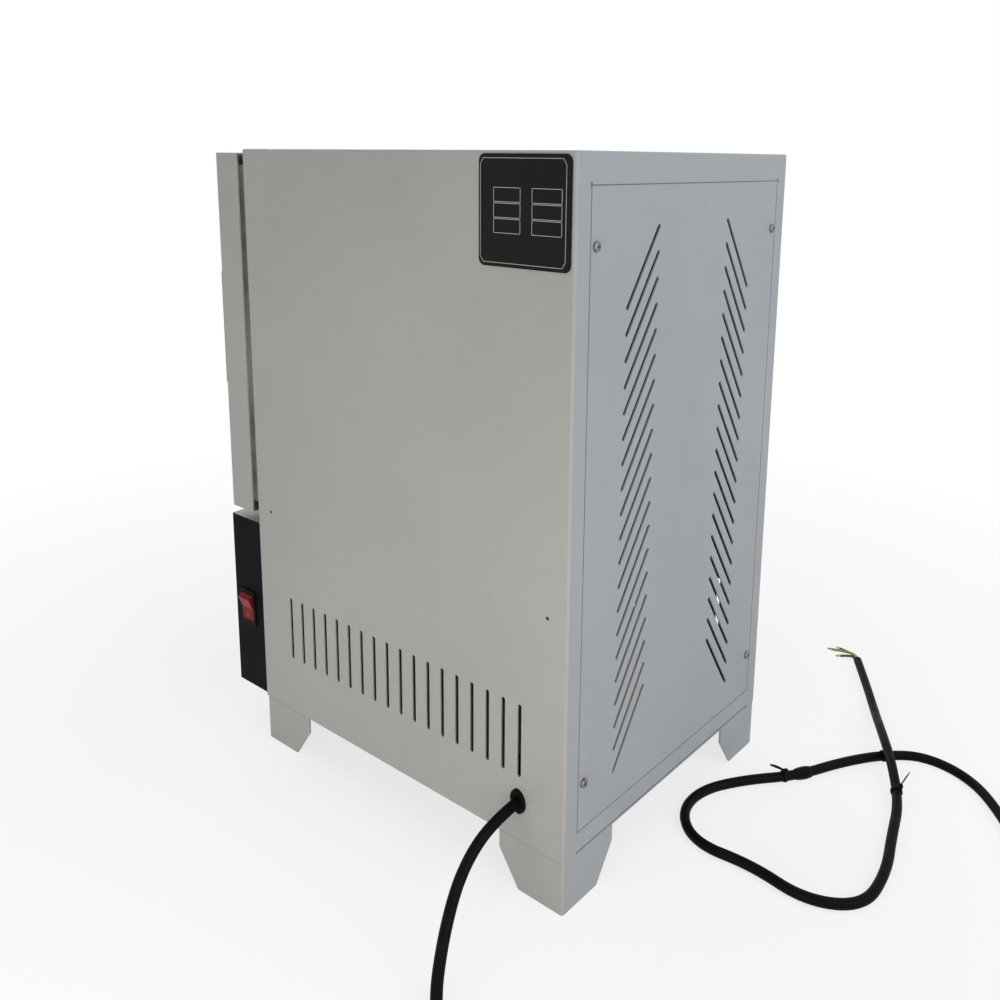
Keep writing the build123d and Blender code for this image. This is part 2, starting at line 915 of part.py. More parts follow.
def make_catch_housing():
    """Forked catch on the front sheet, open towards the door."""
    xs = (catch_x - catch_width, catch_x)
    fork = block(xs, (front_plane - catch_depth, front_plane), around(catch_z, catch_height / 2))
    slot = tongue_thickness / 2 + tongue_clearance
    xs_through = (xs[0] - cut_through, xs[1] + cut_through)
    return fork - block(
        xs_through, (front_plane - catch_depth - cut_through, front_plane - catch_back), around(catch_z, slot)
    )


def make_catch_tongue():
    """Flat tongue on the door that slides between the catch's jaws."""
    middle = catch_x - catch_width / 2
    ys = (door_back, front_plane - catch_back - tongue_clearance)
    tongue = block(around(middle, tongue_width / 2), ys, around(catch_z, tongue_thickness / 2))
    tip = tongue.edges().filter_by(Axis.Z).group_by(Axis.Y)[-1]
    return fillet(tip, tongue_thickness)


# Control box


def switch_cutout():
    """Cutter for the rocker switch's body, through the right side of the control box."""
    gap = switch_cutout_gap
    xs = (half_width - switch_body_length, half_width + cut_through)
    return block(
        xs,
        around(switch_y, switch_body_width / 2 + gap),
        around(switch_z, switch_body_height / 2 + gap),
    )


def make_control_tray():
    """Folded frame of the control box, in the casing's colour."""
    outer = inner_half - screw_clearance
    ys = (control_front + sheet, front_plane)
    tray = block(both(outer), ys, (control_bottom, control_top))
    through = (ys[0] - cut_through, ys[1] + cut_through)
    tray -= block(both(outer - sheet), through, (control_bottom + sheet, control_top - sheet))
    return tray - switch_cutout()


def make_control_fascia():
    """Dark cover of the control box: its front and both sides, folded from one sheet."""
    fascia = block(both(half_width), (control_front, front_plane), (control_bottom, control_top))
    corners = fascia.edges().filter_by(Axis.Z).group_by(Axis.Y)[0]
    fascia = fillet(corners, fascia_corner)
    fascia -= block(
        both(inner_half),
        (control_front + sheet, front_plane + cut_through),
        (control_bottom - cut_through, control_top + cut_through),
    )
    through = (control_front - cut_through, control_front + sheet + cut_through)
    half = controller_cutout / 2
    fascia -= block(around(controller_x, half), through, around(controller_z, half))
    for x in around(lamp_x, lamp_spacing / 2):
        fascia -= rod_y(lamp_hole_radius, x, through, lamp_z)
    return fascia - switch_cutout()


def key_places():
    """X of each key of the controller."""
    return [controller_x + (index - (key_count - 1) / 2) * key_pitch for index in range(key_count)]


def make_controller_case():
    """Square panel controller: bezel with a window recess and key pockets, and its body behind."""
    size = controller_size / 2
    bezel = block(around(controller_x, size), (bezel_front, control_front), around(controller_z, size))
    front = bezel.faces().sort_by(Axis.Y)[0].edges()
    bezel = fillet(front + bezel.edges().filter_by(Axis.Y), bezel_round)
    body = controller_body / 2
    back = control_front + controller_length
    case = bezel + block(around(controller_x, body), (control_front, back), around(controller_z, body))
    recess = (bezel_front - cut_through, bezel_front + window_recess + window_thickness)
    case -= block(
        around(controller_x, window_width / 2),
        recess,
        around(controller_z + window_rise, window_height / 2),
    )
    pocket_depth = key_thickness - key_proud + key_travel + key_free
    pocket = (bezel_front - cut_through, bezel_front + pocket_depth)
    for x in key_places():
        case -= block(
            around(x, key_width / 2 + key_clearance),
            pocket,
            around(controller_z - key_drop, key_height / 2 + key_clearance),
        )
    return case


def make_controller_window():
    """Smoked display window, set below the bezel's face."""
    start = bezel_front + window_recess
    return block(
        around(controller_x, window_width / 2 - window_gap),
        (start, start + window_thickness),
        around(controller_z + window_rise, window_height / 2 - window_gap),
    )


def make_controller_key(x):
    """One push key with a rounded face."""
    ys = (bezel_front - key_proud, bezel_front - key_proud + key_thickness)
    key = block(around(x, key_width / 2), ys, around(controller_z - key_drop, key_height / 2))
    key = fillet(key.edges().filter_by(Axis.Y), bezel_round)
    return fillet(key.faces().sort_by(Axis.Y)[0].edges(), key_proud / 2)


def on_lamp_axis(shape):
    """The shape, built along Z from the fascia's face outwards, at both lamps."""
    places = around(lamp_x, lamp_spacing / 2)
    return Compound(children=[Pos(x, control_front, lamp_z) * Rot(90, 0, 0) * shape for x in places])


def make_pilot_lamp_bezels():
    """Ring and body of each pilot lamp."""
    ring = Pos(0, 0, lamp_bezel_height / 2) * Cylinder(lamp_bezel_radius, lamp_bezel_height)
    ring = chamfer(ring.edges().group_by(Axis.Z)[-1], lamp_bezel_height / 2)
    body = Pos(0, 0, -lamp_body_length / 2) * Cylinder(lamp_body_radius, lamp_body_length)
    seat = Pos(0, 0, lamp_bezel_height) * Cylinder(lamp_lens_radius + lamp_seat_gap, 2 * lamp_seat)
    return on_lamp_axis(ring + body - seat)


def make_pilot_lamp_lenses():
    """Domed lens of each pilot lamp."""
    base = lamp_bezel_height - lamp_seat
    lens = Pos(0, 0, base + lamp_lens_height / 2) * Cylinder(lamp_lens_radius, lamp_lens_height)
    lens = fillet(lens.edges().group_by(Axis.Z)[-1], lamp_lens_height / 2)
    return on_lamp_axis(lens)


def make_switch_body():
    """Body of the rocker switch, with its bezel against the fascia and a well for the rocker."""
    bezel = block(
        (half_width, bezel_face),
        around(switch_y, switch_bezel_width / 2),
        around(switch_z, switch_bezel_height / 2),
    )
    bezel = fillet(bezel.edges().filter_by(Axis.X), switch_bezel_corner)
    body = block(
        (half_width - switch_body_length, half_width),
        around(switch_y, switch_body_width / 2),
        around(switch_z, switch_body_height / 2),
    )
    well = block(
        (bezel_face - rocker_well, bezel_face + cut_through),
        around(switch_y, rocker_half_width + rocker_gap),
        around(switch_z, rocker_radius + rocker_gap),
    )
    hole = Pos(rocker_pivot, switch_y, switch_z) * Rot(90, 0, 0) * Cylinder(
        trunnion_radius + trunnion_clearance, switch_body_width
    )
    return bezel + body - well - hole


def make_power_rocker():
    """Rocker with a shallow valley across its face, round ends and a trunnion, upper end out."""

    def rim(angle):
        turn = math.radians(angle)
        return (rocker_radius * math.cos(turn), rocker_radius * math.sin(turn))

    top = rim(rocker_corner_angle)
    top_back = rim(rocker_back_angle)
    top_middle = rim((rocker_corner_angle + rocker_back_angle) / 2)
    bottom, bottom_back, bottom_middle = [(u, -v) for u, v in (top, top_back, top_middle)]
    outline = [
        Polyline(bottom, (rocker_valley, 0), top),
        ThreePointArc(top, top_middle, top_back),
        Polyline(top_back, (-rocker_back, rocker_back_half), (-rocker_back, -rocker_back_half), bottom_back),
        ThreePointArc(bottom_back, bottom_middle, bottom),
    ]
    rocker = extrude(make_face(Curve() + outline), amount=rocker_half_width, both=True)
    reach = rocker_half_width + rocker_gap + trunnion_reach
    rocker += Cylinder(trunnion_radius, 2 * reach)
    place = Plane(origin=(rocker_pivot, switch_y, switch_z), x_dir=(1, 0, 0), z_dir=(0, -1, 0))
    return place * (Rot(0, 0, -rocker_tilt) * rocker)


# Electrics in the lower space


def make_heat_sink():
    """Extruded sink with its fins down, on the base tray."""
    plate_bottom = base_top + sink_height - sink_plate
    xs = around(sink_x, sink_width / 2)
    ys = around(sink_y, sink_length / 2)
    sink = block(xs, ys, (plate_bottom, plate_bottom + sink_plate))
    pitch = (sink_width - sink_fin) / (sink_fins - 1)
    for index in range(sink_fins):
        middle = xs[0] + sink_fin / 2 + index * pitch
        sink += block(around(middle, sink_fin / 2), ys, (base_top, plate_bottom))
    return sink


def make_solid_state_relay():
    """Relay block on the sink, with a slot at each end for its terminal screws."""
    bottom = base_top + sink_height
    relay = block(
        around(sink_x, relay_width / 2), around(sink_y, relay_length / 2), (bottom, bottom + relay_height)
    )
    for end in (-1, 1):
        ys = sorted((sink_y + end * (relay_length / 2 - relay_slot), sink_y + end * relay_length))
        slot_top = bottom + relay_height + cut_through
        relay -= block(around(sink_x, relay_width / 3), ys, (bottom + relay_height / 2, slot_top))
    return relay


def make_terminal_box():
    """Terminal box on the base tray that the cord ends in, with a stepped cover."""
    xs = (cord_start - terminal_box_length, cord_start)
    top = base_top + terminal_box_height
    box = block(xs, around(cord_y, terminal_box_width / 2), (base_top, top))
    cover = block(
        (xs[0] + terminal_lip, xs[1] - terminal_lip),
        around(cord_y, terminal_box_width / 2 - terminal_lip),
        (top, top + terminal_cover),
    )
    return box + cover


# Cord


def make_cable_grommet():
    """Rubber grommet in the right side wall, with an oval flange outside and a round one inside."""
    neck = (inner_half, half_width)
    inside = (inner_half - grommet_inner_flange, inner_half)
    plane = Plane(origin=(half_width, cord_y, cord_z), x_dir=(0, 1, 0), z_dir=(1, 0, 0))
    oval = Ellipse(grommet_flange_width / 2, grommet_flange_height / 2, rotation=grommet_flange_lean)
    dome = extrude(plane * oval, amount=grommet_flange)
    dome = fillet(dome.edges().sort_by(Axis.X)[-1], grommet_flange / 3)
    neck_radius = grommet_hole_radius - grommet_fit
    grommet = dome + rod_x(neck_radius, neck, cord_y, cord_z)
    grommet += rod_x(grommet_hole_radius + grommet_inner_flange, inside, cord_y, cord_z)
    bore = (inside[0] - cut_through, half_width + grommet_flange + cut_through)
    return grommet - rod_x(cord_radius + grommet_fit, bore, cord_y, cord_z)


def corner_radii(points):
    """For each inner point: 0.45 of the shorter run beside it over the tangent of half the turn."""
    radii = []
    for before, corner, after in zip(points, points[1:], points[2:]):
        first = Vector(*corner) - Vector(*before)
        second = Vector(*after) - Vector(*corner)
        half_turn = math.radians(first.get_angle(second)) / 2
        radii.append(0.45 * min(first.length, second.length) / math.tan(half_turn))
    return radii


def make_power_cord():
    """Round cord: straight runs joined by arcs, from the terminal box to its bare end."""
    radii = corner_radii(cord_route)
    path = FilletPolyline(*cord_route, radius=radii)
    start = Plane(origin=path @ 0, z_dir=path % 0)
    cord = sweep(start * Circle(cord_radius), path=path)
    expected = math.pi * cord_radius**2 * path.length
    print("cord radii", [round(radius) for radius in radii])
    print("cord length", round(path.length), "volume ratio", round(cord.volume / expected, 4))
    return cord


def make_cord_cores():
    """Three insulated cores out of the cord's end, which bend to one side and rest on the floor."""
    end = Vector(*cord_route[-1])
    along = (end - Vector(*cord_route[-2])).normalized()
    across = Vector(-along.Y, along.X, 0)
    up = Vector(0, 0, 1)
    cores = []
    for turn, x, y in core_ends:
        angle = math.radians(turn)
        root = end + across * (core_spread * -math.cos(angle)) + up * (core_spread * math.sin(angle))
        path = FilletPolyline(
            root, root + along * core_straight, Vector(x, y, core_radius), radius=core_bend
        )
        start = Plane(origin=path @ 0, z_dir=path % 0)
        cores.append(sweep(start * Circle(core_radius), path=path))
    return Compound(children=cores)


nodes = {
    "outer_casing": make_outer_casing(),
    "front_frame": make_front_frame(),
    "base_pan": make_base_pan(),
    "rear_rail": make_rear_rail(),
    "rear_inner_frame": make_rear_inner_frame(),
    "back_panel": make_back_panel(),
    "back_panel_screws": make_back_panel_screws(),
    "leg_front_left": make_leg(-1, -1),
    "leg_front_right": make_leg(1, -1),
    "leg_rear_left": make_leg(-1, 1),
    "leg_rear_right": make_leg(1, 1),
    "rating_plate": make_rating_plate(),
    "divider_shelf": make_divider_shelf(),
    "inner_shell": make_inner_shell(),
    "mouth_frame": make_mouth_frame(),
    "roof_board": make_level_board(door_centre + chamber_rise, door_centre + board_rise),
    "floor_board": make_level_board(door_centre - board_rise, door_centre - chamber_rise),
    "back_board": make_back_board(),
    "heater_board_left": make_heater_board(-1),
    "heater_board_right": make_heater_board(1),
    "heating_elements": make_heating_elements(),
    "element_terminals": make_element_terminals(),
    "hearth_plate": make_hearth_plate(),
    "insulation_left": make_insulation_side(-1),
    "insulation_right": make_insulation_side(1),
    "insulation_top": make_insulation_level(door_centre + board_rise, pack_top),
    "insulation_bottom": make_insulation_level(pack_bottom, door_centre - board_rise),
    "insulation_rear": make_insulation_rear(),
    "thermocouple_sheath": make_thermocouple_sheath(),
    "thermocouple_head": make_thermocouple_head(),
    "door_shell": make_door_shell(),
    "door_inner_panel": make_door_inner_panel(),
    "door_insulation": make_door_insulation(),
    "door_plug": make_door_plug(),
    "door_seal": make_door_seal(),
    "handle_bar": make_handle_bar(),
    "handle_posts": make_handle_posts(),
    "hinge_leaves_door": make_hinge_leaves("door"),
    "hinge_leaves_casing": make_hinge_leaves("casing"),
    "hinge_pins": make_hinge_pins(),
    "catch_housing": make_catch_housing(),
    "catch_tongue": make_catch_tongue(),
    "control_tray": make_control_tray(),
    "control_fascia": make_control_fascia(),
    "controller_case": make_controller_case(),
    "controller_window": make_controller_window(),
    "pilot_lamp_bezels": make_pilot_lamp_bezels(),
    "pilot_lamp_lenses": make_pilot_lamp_lenses(),
    "switch_body": make_switch_body(),
    "power_rocker": make_power_rocker(),
    "heat_sink": make_heat_sink(),
    "solid_state_relay": make_solid_state_relay(),
    "terminal_box": make_terminal_box(),
    "cable_grommet": make_cable_grommet(),
    "power_cord": make_power_cord(),
    "cord_cores": make_cord_cores(),
}
for number, key_x in enumerate(key_places(), start=1):
    nodes[f"controller_key_{number}"] = make_controller_key(key_x)

os.makedirs("parts", exist_ok=True)
for name, shape in nodes.items():
    export_step(Pos(-origin) * shape, f"parts/{name}.step")
print("nodes", len(nodes), "origin", [round(value, 3) for value in origin])
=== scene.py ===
import json
import math
import random

import bmesh
import bpy
from mathutils import Matrix, Vector


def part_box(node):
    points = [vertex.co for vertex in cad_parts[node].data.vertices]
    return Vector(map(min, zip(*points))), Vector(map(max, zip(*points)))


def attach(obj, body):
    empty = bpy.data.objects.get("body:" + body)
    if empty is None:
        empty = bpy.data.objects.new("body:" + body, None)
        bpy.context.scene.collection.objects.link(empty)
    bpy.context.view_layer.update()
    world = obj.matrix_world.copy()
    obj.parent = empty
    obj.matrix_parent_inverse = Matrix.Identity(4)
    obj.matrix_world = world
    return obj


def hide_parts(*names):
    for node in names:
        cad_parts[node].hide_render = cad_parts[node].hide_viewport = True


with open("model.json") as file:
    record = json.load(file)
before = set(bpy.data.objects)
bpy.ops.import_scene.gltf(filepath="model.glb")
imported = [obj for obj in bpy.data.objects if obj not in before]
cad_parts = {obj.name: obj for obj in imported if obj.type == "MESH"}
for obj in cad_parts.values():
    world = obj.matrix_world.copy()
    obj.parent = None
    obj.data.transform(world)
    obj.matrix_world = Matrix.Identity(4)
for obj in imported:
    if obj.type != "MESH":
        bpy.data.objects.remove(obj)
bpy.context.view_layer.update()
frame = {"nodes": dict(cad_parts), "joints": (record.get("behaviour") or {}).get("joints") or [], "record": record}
nodes = frame["nodes"]
random.seed(7)

# Places are in metres. Most are set about the casing's centre line, as the part's own sizes are.
casing_low, casing_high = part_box("outer_casing")
casing = Vector(((casing_low.x + casing_high.x) / 2, (casing_low.y + casing_high.y) / 2, 0))

# Camera
camera_place = casing + Vector((0.76636, 0.65616, 0.64429))
camera_azimuth = 230.25
camera_elevation = -11.533
camera_roll = 0.613
sensor = 36.0
focal_share = 0.98687
shift_right = -0.02698
shift_up = -0.14107

# Cord, with the same points as the solid's route, but a lower hump where it crosses itself
cord_diameter = 0.010
cord_rest = 0.005
cord_hump = 0.0165
cord_inner_end = 0.158
cord_y = 0.1595
cord_z = 0.090
cord_route = [
    (cord_inner_end, cord_y, cord_z),
    (0.205, cord_y, cord_z),
    (0.250, 0.163, 0.071),
    (0.284, 0.174, 0.034),
    (0.320, 0.199, cord_rest),
    (0.343, 0.243, cord_rest),
    (0.338, 0.300, cord_rest),
    (0.298, 0.352, cord_rest),
    (0.243, 0.405, cord_rest),
    (0.190, 0.466, cord_rest),
    (0.128, 0.512, cord_rest),
    (0.058, 0.541, cord_rest),
    (-0.014, 0.546, cord_rest),
    (-0.086, 0.532, cord_rest),
    (-0.152, 0.503, cord_rest),
    (-0.211, 0.467, cord_rest),
    (-0.256, 0.424, cord_rest),
    (-0.266, 0.372, cord_rest),
    (-0.238, 0.336, cord_rest),
    (-0.194, 0.306, cord_rest),
    (-0.142, 0.281, cord_rest),
    (-0.096, 0.240, cord_rest),
    (-0.052, 0.215, cord_rest),
    (-0.008, 0.218, cord_rest),
    (0.022, 0.252, cord_rest),
    (0.014, 0.308, cord_rest),
    (0.024, 0.364, cord_rest),
    (-0.003, 0.407, cord_rest),
    (-0.058, 0.406, cord_rest),
    (-0.110, 0.392, cord_rest),
    (-0.166, 0.379, cord_rest),
    (-0.216, 0.352, cord_hump),
    (-0.265, 0.323, cord_hump),
    (-0.315, 0.298, cord_rest),
    (-0.369, 0.267, cord_rest),
    (-0.425, 0.233, cord_rest),
]


# Node helpers


def new_material(name):
    """A material with only its principled shader, and short ways to add nodes to it."""
    material = bpy.data.materials.new(name)
    material.use_nodes = True
    tree = material.node_tree
    shader = next(node for node in tree.nodes if node.type == "BSDF_PRINCIPLED")
    return material, tree, shader


def add(tree, kind, **values):
    """A new node, with its settings and its input values by name."""
    node = tree.nodes.new(kind)
    for name, value in values.items():
        if hasattr(node, name):
            setattr(node, name, value)
        else:
            node.inputs[name.replace("_", " ")].default_value = value
    return node


def link(tree, source, output, target, socket):
    """A link from a node's output to a node's input, both by name."""
    tree.links.new(source.outputs[output], target.inputs[socket])


def noise(tree, place, scale, detail=2.0, rough=0.5, stretch=None):
    """A noise pattern at a scale in cells per metre."""
    node = add(tree, "ShaderNodeTexNoise", Scale=scale, Detail=detail, Roughness=rough)
    if stretch:
        mapping = add(tree, "ShaderNodeMapping")
        mapping.inputs["Scale"].default_value = stretch
        link(tree, place, "Object", mapping, "Vector")
        link(tree, mapping, "Vector", node, "Vector")
    else:
        link(tree, place, "Object", node, "Vector")
    return node


def ramp(tree, source, output, stops):
    """A colour ramp with its stops as (position, grey or colour)."""
    node = add(tree, "ShaderNodeValToRGB")
    band = node.color_ramp
    while len(band.elements) < len(stops):
        band.elements.new(0.5)
    for element, (position, colour) in zip(band.elements, stops):
        element.position = position
        element.color = (*colour, 1) if isinstance(colour, tuple) else (colour, colour, colour, 1)
    link(tree, source, output, node, "Fac")
    return node


def blend_colours(tree, mask, output, low, high):
    """A mix of two colours, or of another node's colour and a colour, by a mask."""
    node = add(tree, "ShaderNodeMix", data_type="RGBA")
    tree.links.new(mask.outputs[output], node.inputs[0])
    for colour, socket in ((low, node.inputs[6]), (high, node.inputs[7])):
        if isinstance(colour, tuple):
            socket.default_value = (*colour, 1)
        else:
            tree.links.new(colour.outputs[2] if colour.type == "MIX" else colour.outputs[0], socket)
    return node


def scaled(colour, factor):
    """The colour, lighter or darker."""
    return tuple(channel * factor for channel in colour)


def bump(tree, shader, layers):
    """Bumps one on another, each as (texture node, output, height in metres, strength)."""
    last = None
    for texture, output, height, strength in layers:
        node = add(tree, "ShaderNodeBump", Strength=strength, Distance=height)
        link(tree, texture, output, node, "Height")
        if last:
            link(tree, last, "Normal", node, "Normal")
        last = node
    link(tree, last, "Normal", shader, "Normal")


# Materials


def powder_coat(name, colour, roughness, peel_height, smudges, gloss_level):
    """Powder coat with fine orange peel, a faint cloudiness and dusty smudges."""
    material, tree, shader = new_material(name)
    shader.inputs["Specular IOR Level"].default_value = gloss_level
    place = add(tree, "ShaderNodeTexCoord")
    clouds = noise(tree, place, 5.0, 3.0)
    cloudy = ramp(tree, clouds, "Fac", [(0.32, 0.0), (0.68, 1.0)])
    base = blend_colours(tree, cloudy, "Color", scaled(colour, 0.965), scaled(colour, 1.035))
    marks = noise(tree, place, 46.0, 5.0, 0.62)
    marked = ramp(tree, marks, "Fac", [(0.60, 0.0), (0.78, smudges)])
    dusty = blend_colours(tree, marked, "Color", base, scaled(colour, 0.80))
    specks = noise(tree, place, 620.0, 1.0)
    speck = ramp(tree, specks, "Fac", [(0.70, 0.0), (0.76, smudges * 0.8)])
    final = blend_colours(tree, speck, "Color", dusty, scaled(colour, 0.70))
    tree.links.new(final.outputs[2], shader.inputs["Base Color"])
    gloss = noise(tree, place, 22.0, 3.0)
    glossy = ramp(tree, gloss, "Fac", [(0.3, roughness - 0.06), (0.7, roughness + 0.08)])
    link(tree, glossy, "Color", shader, "Roughness")
    peel = noise(tree, place, 780.0, 1.5, 0.45)
    waves = noise(tree, place, 7.0, 1.0)
    bump(tree, shader, [(waves, "Fac", 0.0016, 0.10), (peel, "Fac", peel_height, 0.32)])
    return material


def brushed_metal(name, colour, roughness, lay, tarnish):
    """Metal with fine lines along one axis and dull patches. lay stretches the lines."""
    material, tree, shader = new_material(name)
    shader.inputs["Metallic"].default_value = 1.0
    place = add(tree, "ShaderNodeTexCoord")
    lines = noise(tree, place, 900.0, 2.0, 0.5, lay)
    patches = noise(tree, place, 14.0, 4.0, 0.6)
    dull = ramp(tree, patches, "Fac", [(0.42, 0.0), (0.66, 1.0)])
    base = blend_colours(tree, dull, "Color", colour, scaled(colour, 1 - tarnish))
    tree.links.new(base.outputs[2], shader.inputs["Base Color"])
    worn = ramp(tree, lines, "Fac", [(0.3, roughness - 0.08), (0.7, roughness + 0.10)])
    link(tree, worn, "Color", shader, "Roughness")
    bump(tree, shader, [(lines, "Fac", 0.00004, 0.25)])
    return material


def moulded_plastic(name, colour, roughness, grain, gloss_level=0.25):
    """Plastic with a fine moulded grain and a little dust."""
    material, tree, shader = new_material(name)
    shader.inputs["Specular IOR Level"].default_value = gloss_level
    place = add(tree, "ShaderNodeTexCoord")
    dust = noise(tree, place, 60.0, 5.0, 0.6)
    dusty = ramp(tree, dust, "Fac", [(0.52, 0.0), (0.82, 0.5)])
    pale = tuple(channel * 0.86 + 0.022 for channel in colour)
    base = blend_colours(tree, dusty, "Color", colour, pale)
    tree.links.new(base.outputs[2], shader.inputs["Base Color"])
    worn = ramp(tree, dust, "Fac", [(0.3, roughness - 0.05), (0.8, roughness + 0.14)])
    link(tree, worn, "Color", shader, "Roughness")
    cells = noise(tree, place, 2400.0, 1.0)
    bump(tree, shader, [(cells, "Fac", grain, 0.35)])
    return material


def fibre(name, colour, pits):
    """Ceramic fibre: matt, with short fibres, pits and faint stains."""
    material, tree, shader = new_material(name)
    shader.inputs["Roughness"].default_value = 0.95
    shader.inputs["Specular IOR Level"].default_value = 0.15
    place = add(tree, "ShaderNodeTexCoord")
    stains = noise(tree, place, 16.0, 5.0, 0.65)
    stained = ramp(tree, stains, "Fac", [(0.38, 0.0), (0.74, 1.0)])
    base = blend_colours(tree, stained, "Color", colour, scaled(colour, 0.84))
    specks = noise(tree, place, 420.0, 3.0, 0.7)
    speck = ramp(tree, specks, "Fac", [(0.60, 0.0), (0.72, 0.55)])
    final = blend_colours(tree, speck, "Color", base, scaled(colour, 0.55))
    tree.links.new(final.outputs[2], shader.inputs["Base Color"])
    strands = noise(tree, place, 700.0, 3.0, 0.7, (1.0, 1.0, 0.25))
    lumps = noise(tree, place, 90.0, 3.0, 0.6)
    bump(tree, shader, [(lumps, "Fac", pits, 0.6), (strands, "Fac", 0.0004, 0.5)])
    return material


braid_slant = math.radians(45)


def seal_braid(name, colour):
    """Braided seal, as two slanted sets of waves over each other, with dirt in the weave."""
    material, tree, shader = new_material(name)
    shader.inputs["Roughness"].default_value = 0.92
    place = add(tree, "ShaderNodeTexCoord")
    waves = []
    for slant in (braid_slant, -braid_slant):
        wave = add(tree, "ShaderNodeTexWave", Scale=150.0, Distortion=1.5, Detail=2.0)
        mapping = add(tree, "ShaderNodeMapping")
        mapping.inputs["Rotation"].default_value = (0, slant, 0)
        link(tree, place, "Object", mapping, "Vector")
        link(tree, mapping, "Vector", wave, "Vector")
        waves.append(wave)
    dirt = noise(tree, place, 260.0, 4.0, 0.7)
    dirty = ramp(tree, dirt, "Fac", [(0.40, 0.0), (0.64, 1.0)])
    base = blend_colours(tree, dirty, "Color", colour, scaled(colour, 0.25))
    tree.links.new(base.outputs[2], shader.inputs["Base Color"])
    bump(tree, shader, [(waves[0], "Fac", 0.0007, 0.6), (waves[1], "Fac", 0.0007, 0.6),
                        (dirt, "Fac", 0.0008, 0.6)])
    return material


def refractory(name, colour, grain):
    """Fired ceramic with coarse grains and slight scorching."""
    material, tree, shader = new_material(name)
    shader.inputs["Roughness"].default_value = 0.8
    place = add(tree, "ShaderNodeTexCoord")
    grains = add(tree, "ShaderNodeTexVoronoi", Scale=grain)
    link(tree, place, "Object", grains, "Vector")
    grainy = ramp(tree, grains, "Distance", [(0.1, 1.0), (0.6, 0.0)])
    scorch = noise(tree, place, 18.0, 4.0, 0.6)
    scorched = ramp(tree, scorch, "Fac", [(0.45, 0.0), (0.75, 0.8)])
    base = blend_colours(tree, grainy, "Color", scaled(colour, 0.78), colour)
    final = blend_colours(tree, scorched, "Color", base, scaled(colour, 0.5))
    tree.links.new(final.outputs[2], shader.inputs["Base Color"])
    bump(tree, shader, [(grains, "Distance", 0.0003, 0.4), (scorch, "Fac", 0.0006, 0.3)])
    return material


def oxidised_wire(name):
    """Resistance wire after many firings, brown-grey with scale."""
    material, tree, shader = new_material(name)
    shader.inputs["Metallic"].default_value = 0.6
    place = add(tree, "ShaderNodeTexCoord")
    scale = noise(tree, place, 320.0, 4.0, 0.7)
    scaly = ramp(tree, scale, "Fac", [(0.35, (0.10, 0.085, 0.075)), (0.70, (0.26, 0.20, 0.16))])
    link(tree, scaly, "Color", shader, "Base Color")
    rough = ramp(tree, scale, "Fac", [(0.3, 0.5), (0.7, 0.85)])
    link(tree, rough, "Color", shader, "Roughness")
    bump(tree, shader, [(scale, "Fac", 0.0003, 0.5)])
    return material


def black_rubber(name, colour, roughness, lines):
    """Extruded or moulded rubber, with a faint drag and grey dust."""
    material, tree, shader = new_material(name)
    shader.inputs["Specular IOR Level"].default_value = 0.05
    place = add(tree, "ShaderNodeTexCoord")
    dust = noise(tree, place, 75.0, 5.0, 0.6)
    dusty = ramp(tree, dust, "Fac", [(0.50, 0.0), (0.80, 0.6)])
    base = blend_colours(tree, dusty, "Color", colour, (0.011, 0.011, 0.012))
    tree.links.new(base.outputs[2], shader.inputs["Base Color"])
    worn = ramp(tree, dust, "Fac", [(0.3, roughness - 0.06), (0.75, roughness + 0.18)])
    link(tree, worn, "Color", shader, "Roughness")
    skin = noise(tree, place, lines, 3.0, 0.6)
    bump(tree, shader, [(skin, "Fac", 0.00025, 0.3)])
    return material


def rusty_plating(name, colour):
    """Bright plating that has begun to rust in spots."""
    material, tree, shader = new_material(name)
    place = add(tree, "ShaderNodeTexCoord")
    spots = noise(tree, place, 520.0, 4.0, 0.65)
    rust = ramp(tree, spots, "Fac", [(0.50, 0.0), (0.62, 1.0)])
    base = blend_colours(tree, rust, "Color", colour, (0.10, 0.065, 0.045))
    tree.links.new(base.outputs[2], shader.inputs["Base Color"])
    metal = ramp(tree, spots, "Fac", [(0.50, 1.0), (0.62, 0.2)])
    link(tree, metal, "Color", shader, "Metallic")
    rough = ramp(tree, spots, "Fac", [(0.45, 0.28), (0.62, 0.8)])
    link(tree, rough, "Color", shader, "Roughness")
    bump(tree, shader, [(spots, "Fac", 0.00015, 0.5)])
    return material


def clear_plastic(name, colour, roughness, coat, gloss_level=0.3):
    """Glossy tinted plastic with fine scratches."""
    material, tree, shader = new_material(name)
    shader.inputs["Specular IOR Level"].default_value = gloss_level
    shader.inputs["Coat Weight"].default_value = coat
    shader.inputs["Coat Roughness"].default_value = 0.04
    place = add(tree, "ShaderNodeTexCoord")
    depth = noise(tree, place, 120.0, 3.0)
    varied = ramp(tree, depth, "Fac", [(0.3, scaled(colour, 0.82)), (0.7, colour)])
    link(tree, varied, "Color", shader, "Base Color")
    scratches = noise(tree, place, 1100.0, 3.0, 0.6, (0.08, 1.0, 1.0))
    scratched = ramp(tree, scratches, "Fac", [(0.4, roughness), (0.75, roughness + 0.12)])
    link(tree, scratched, "Color", shader, "Roughness")
    bump(tree, shader, [(depth, "Fac", 0.0001, 0.15)])
    return material


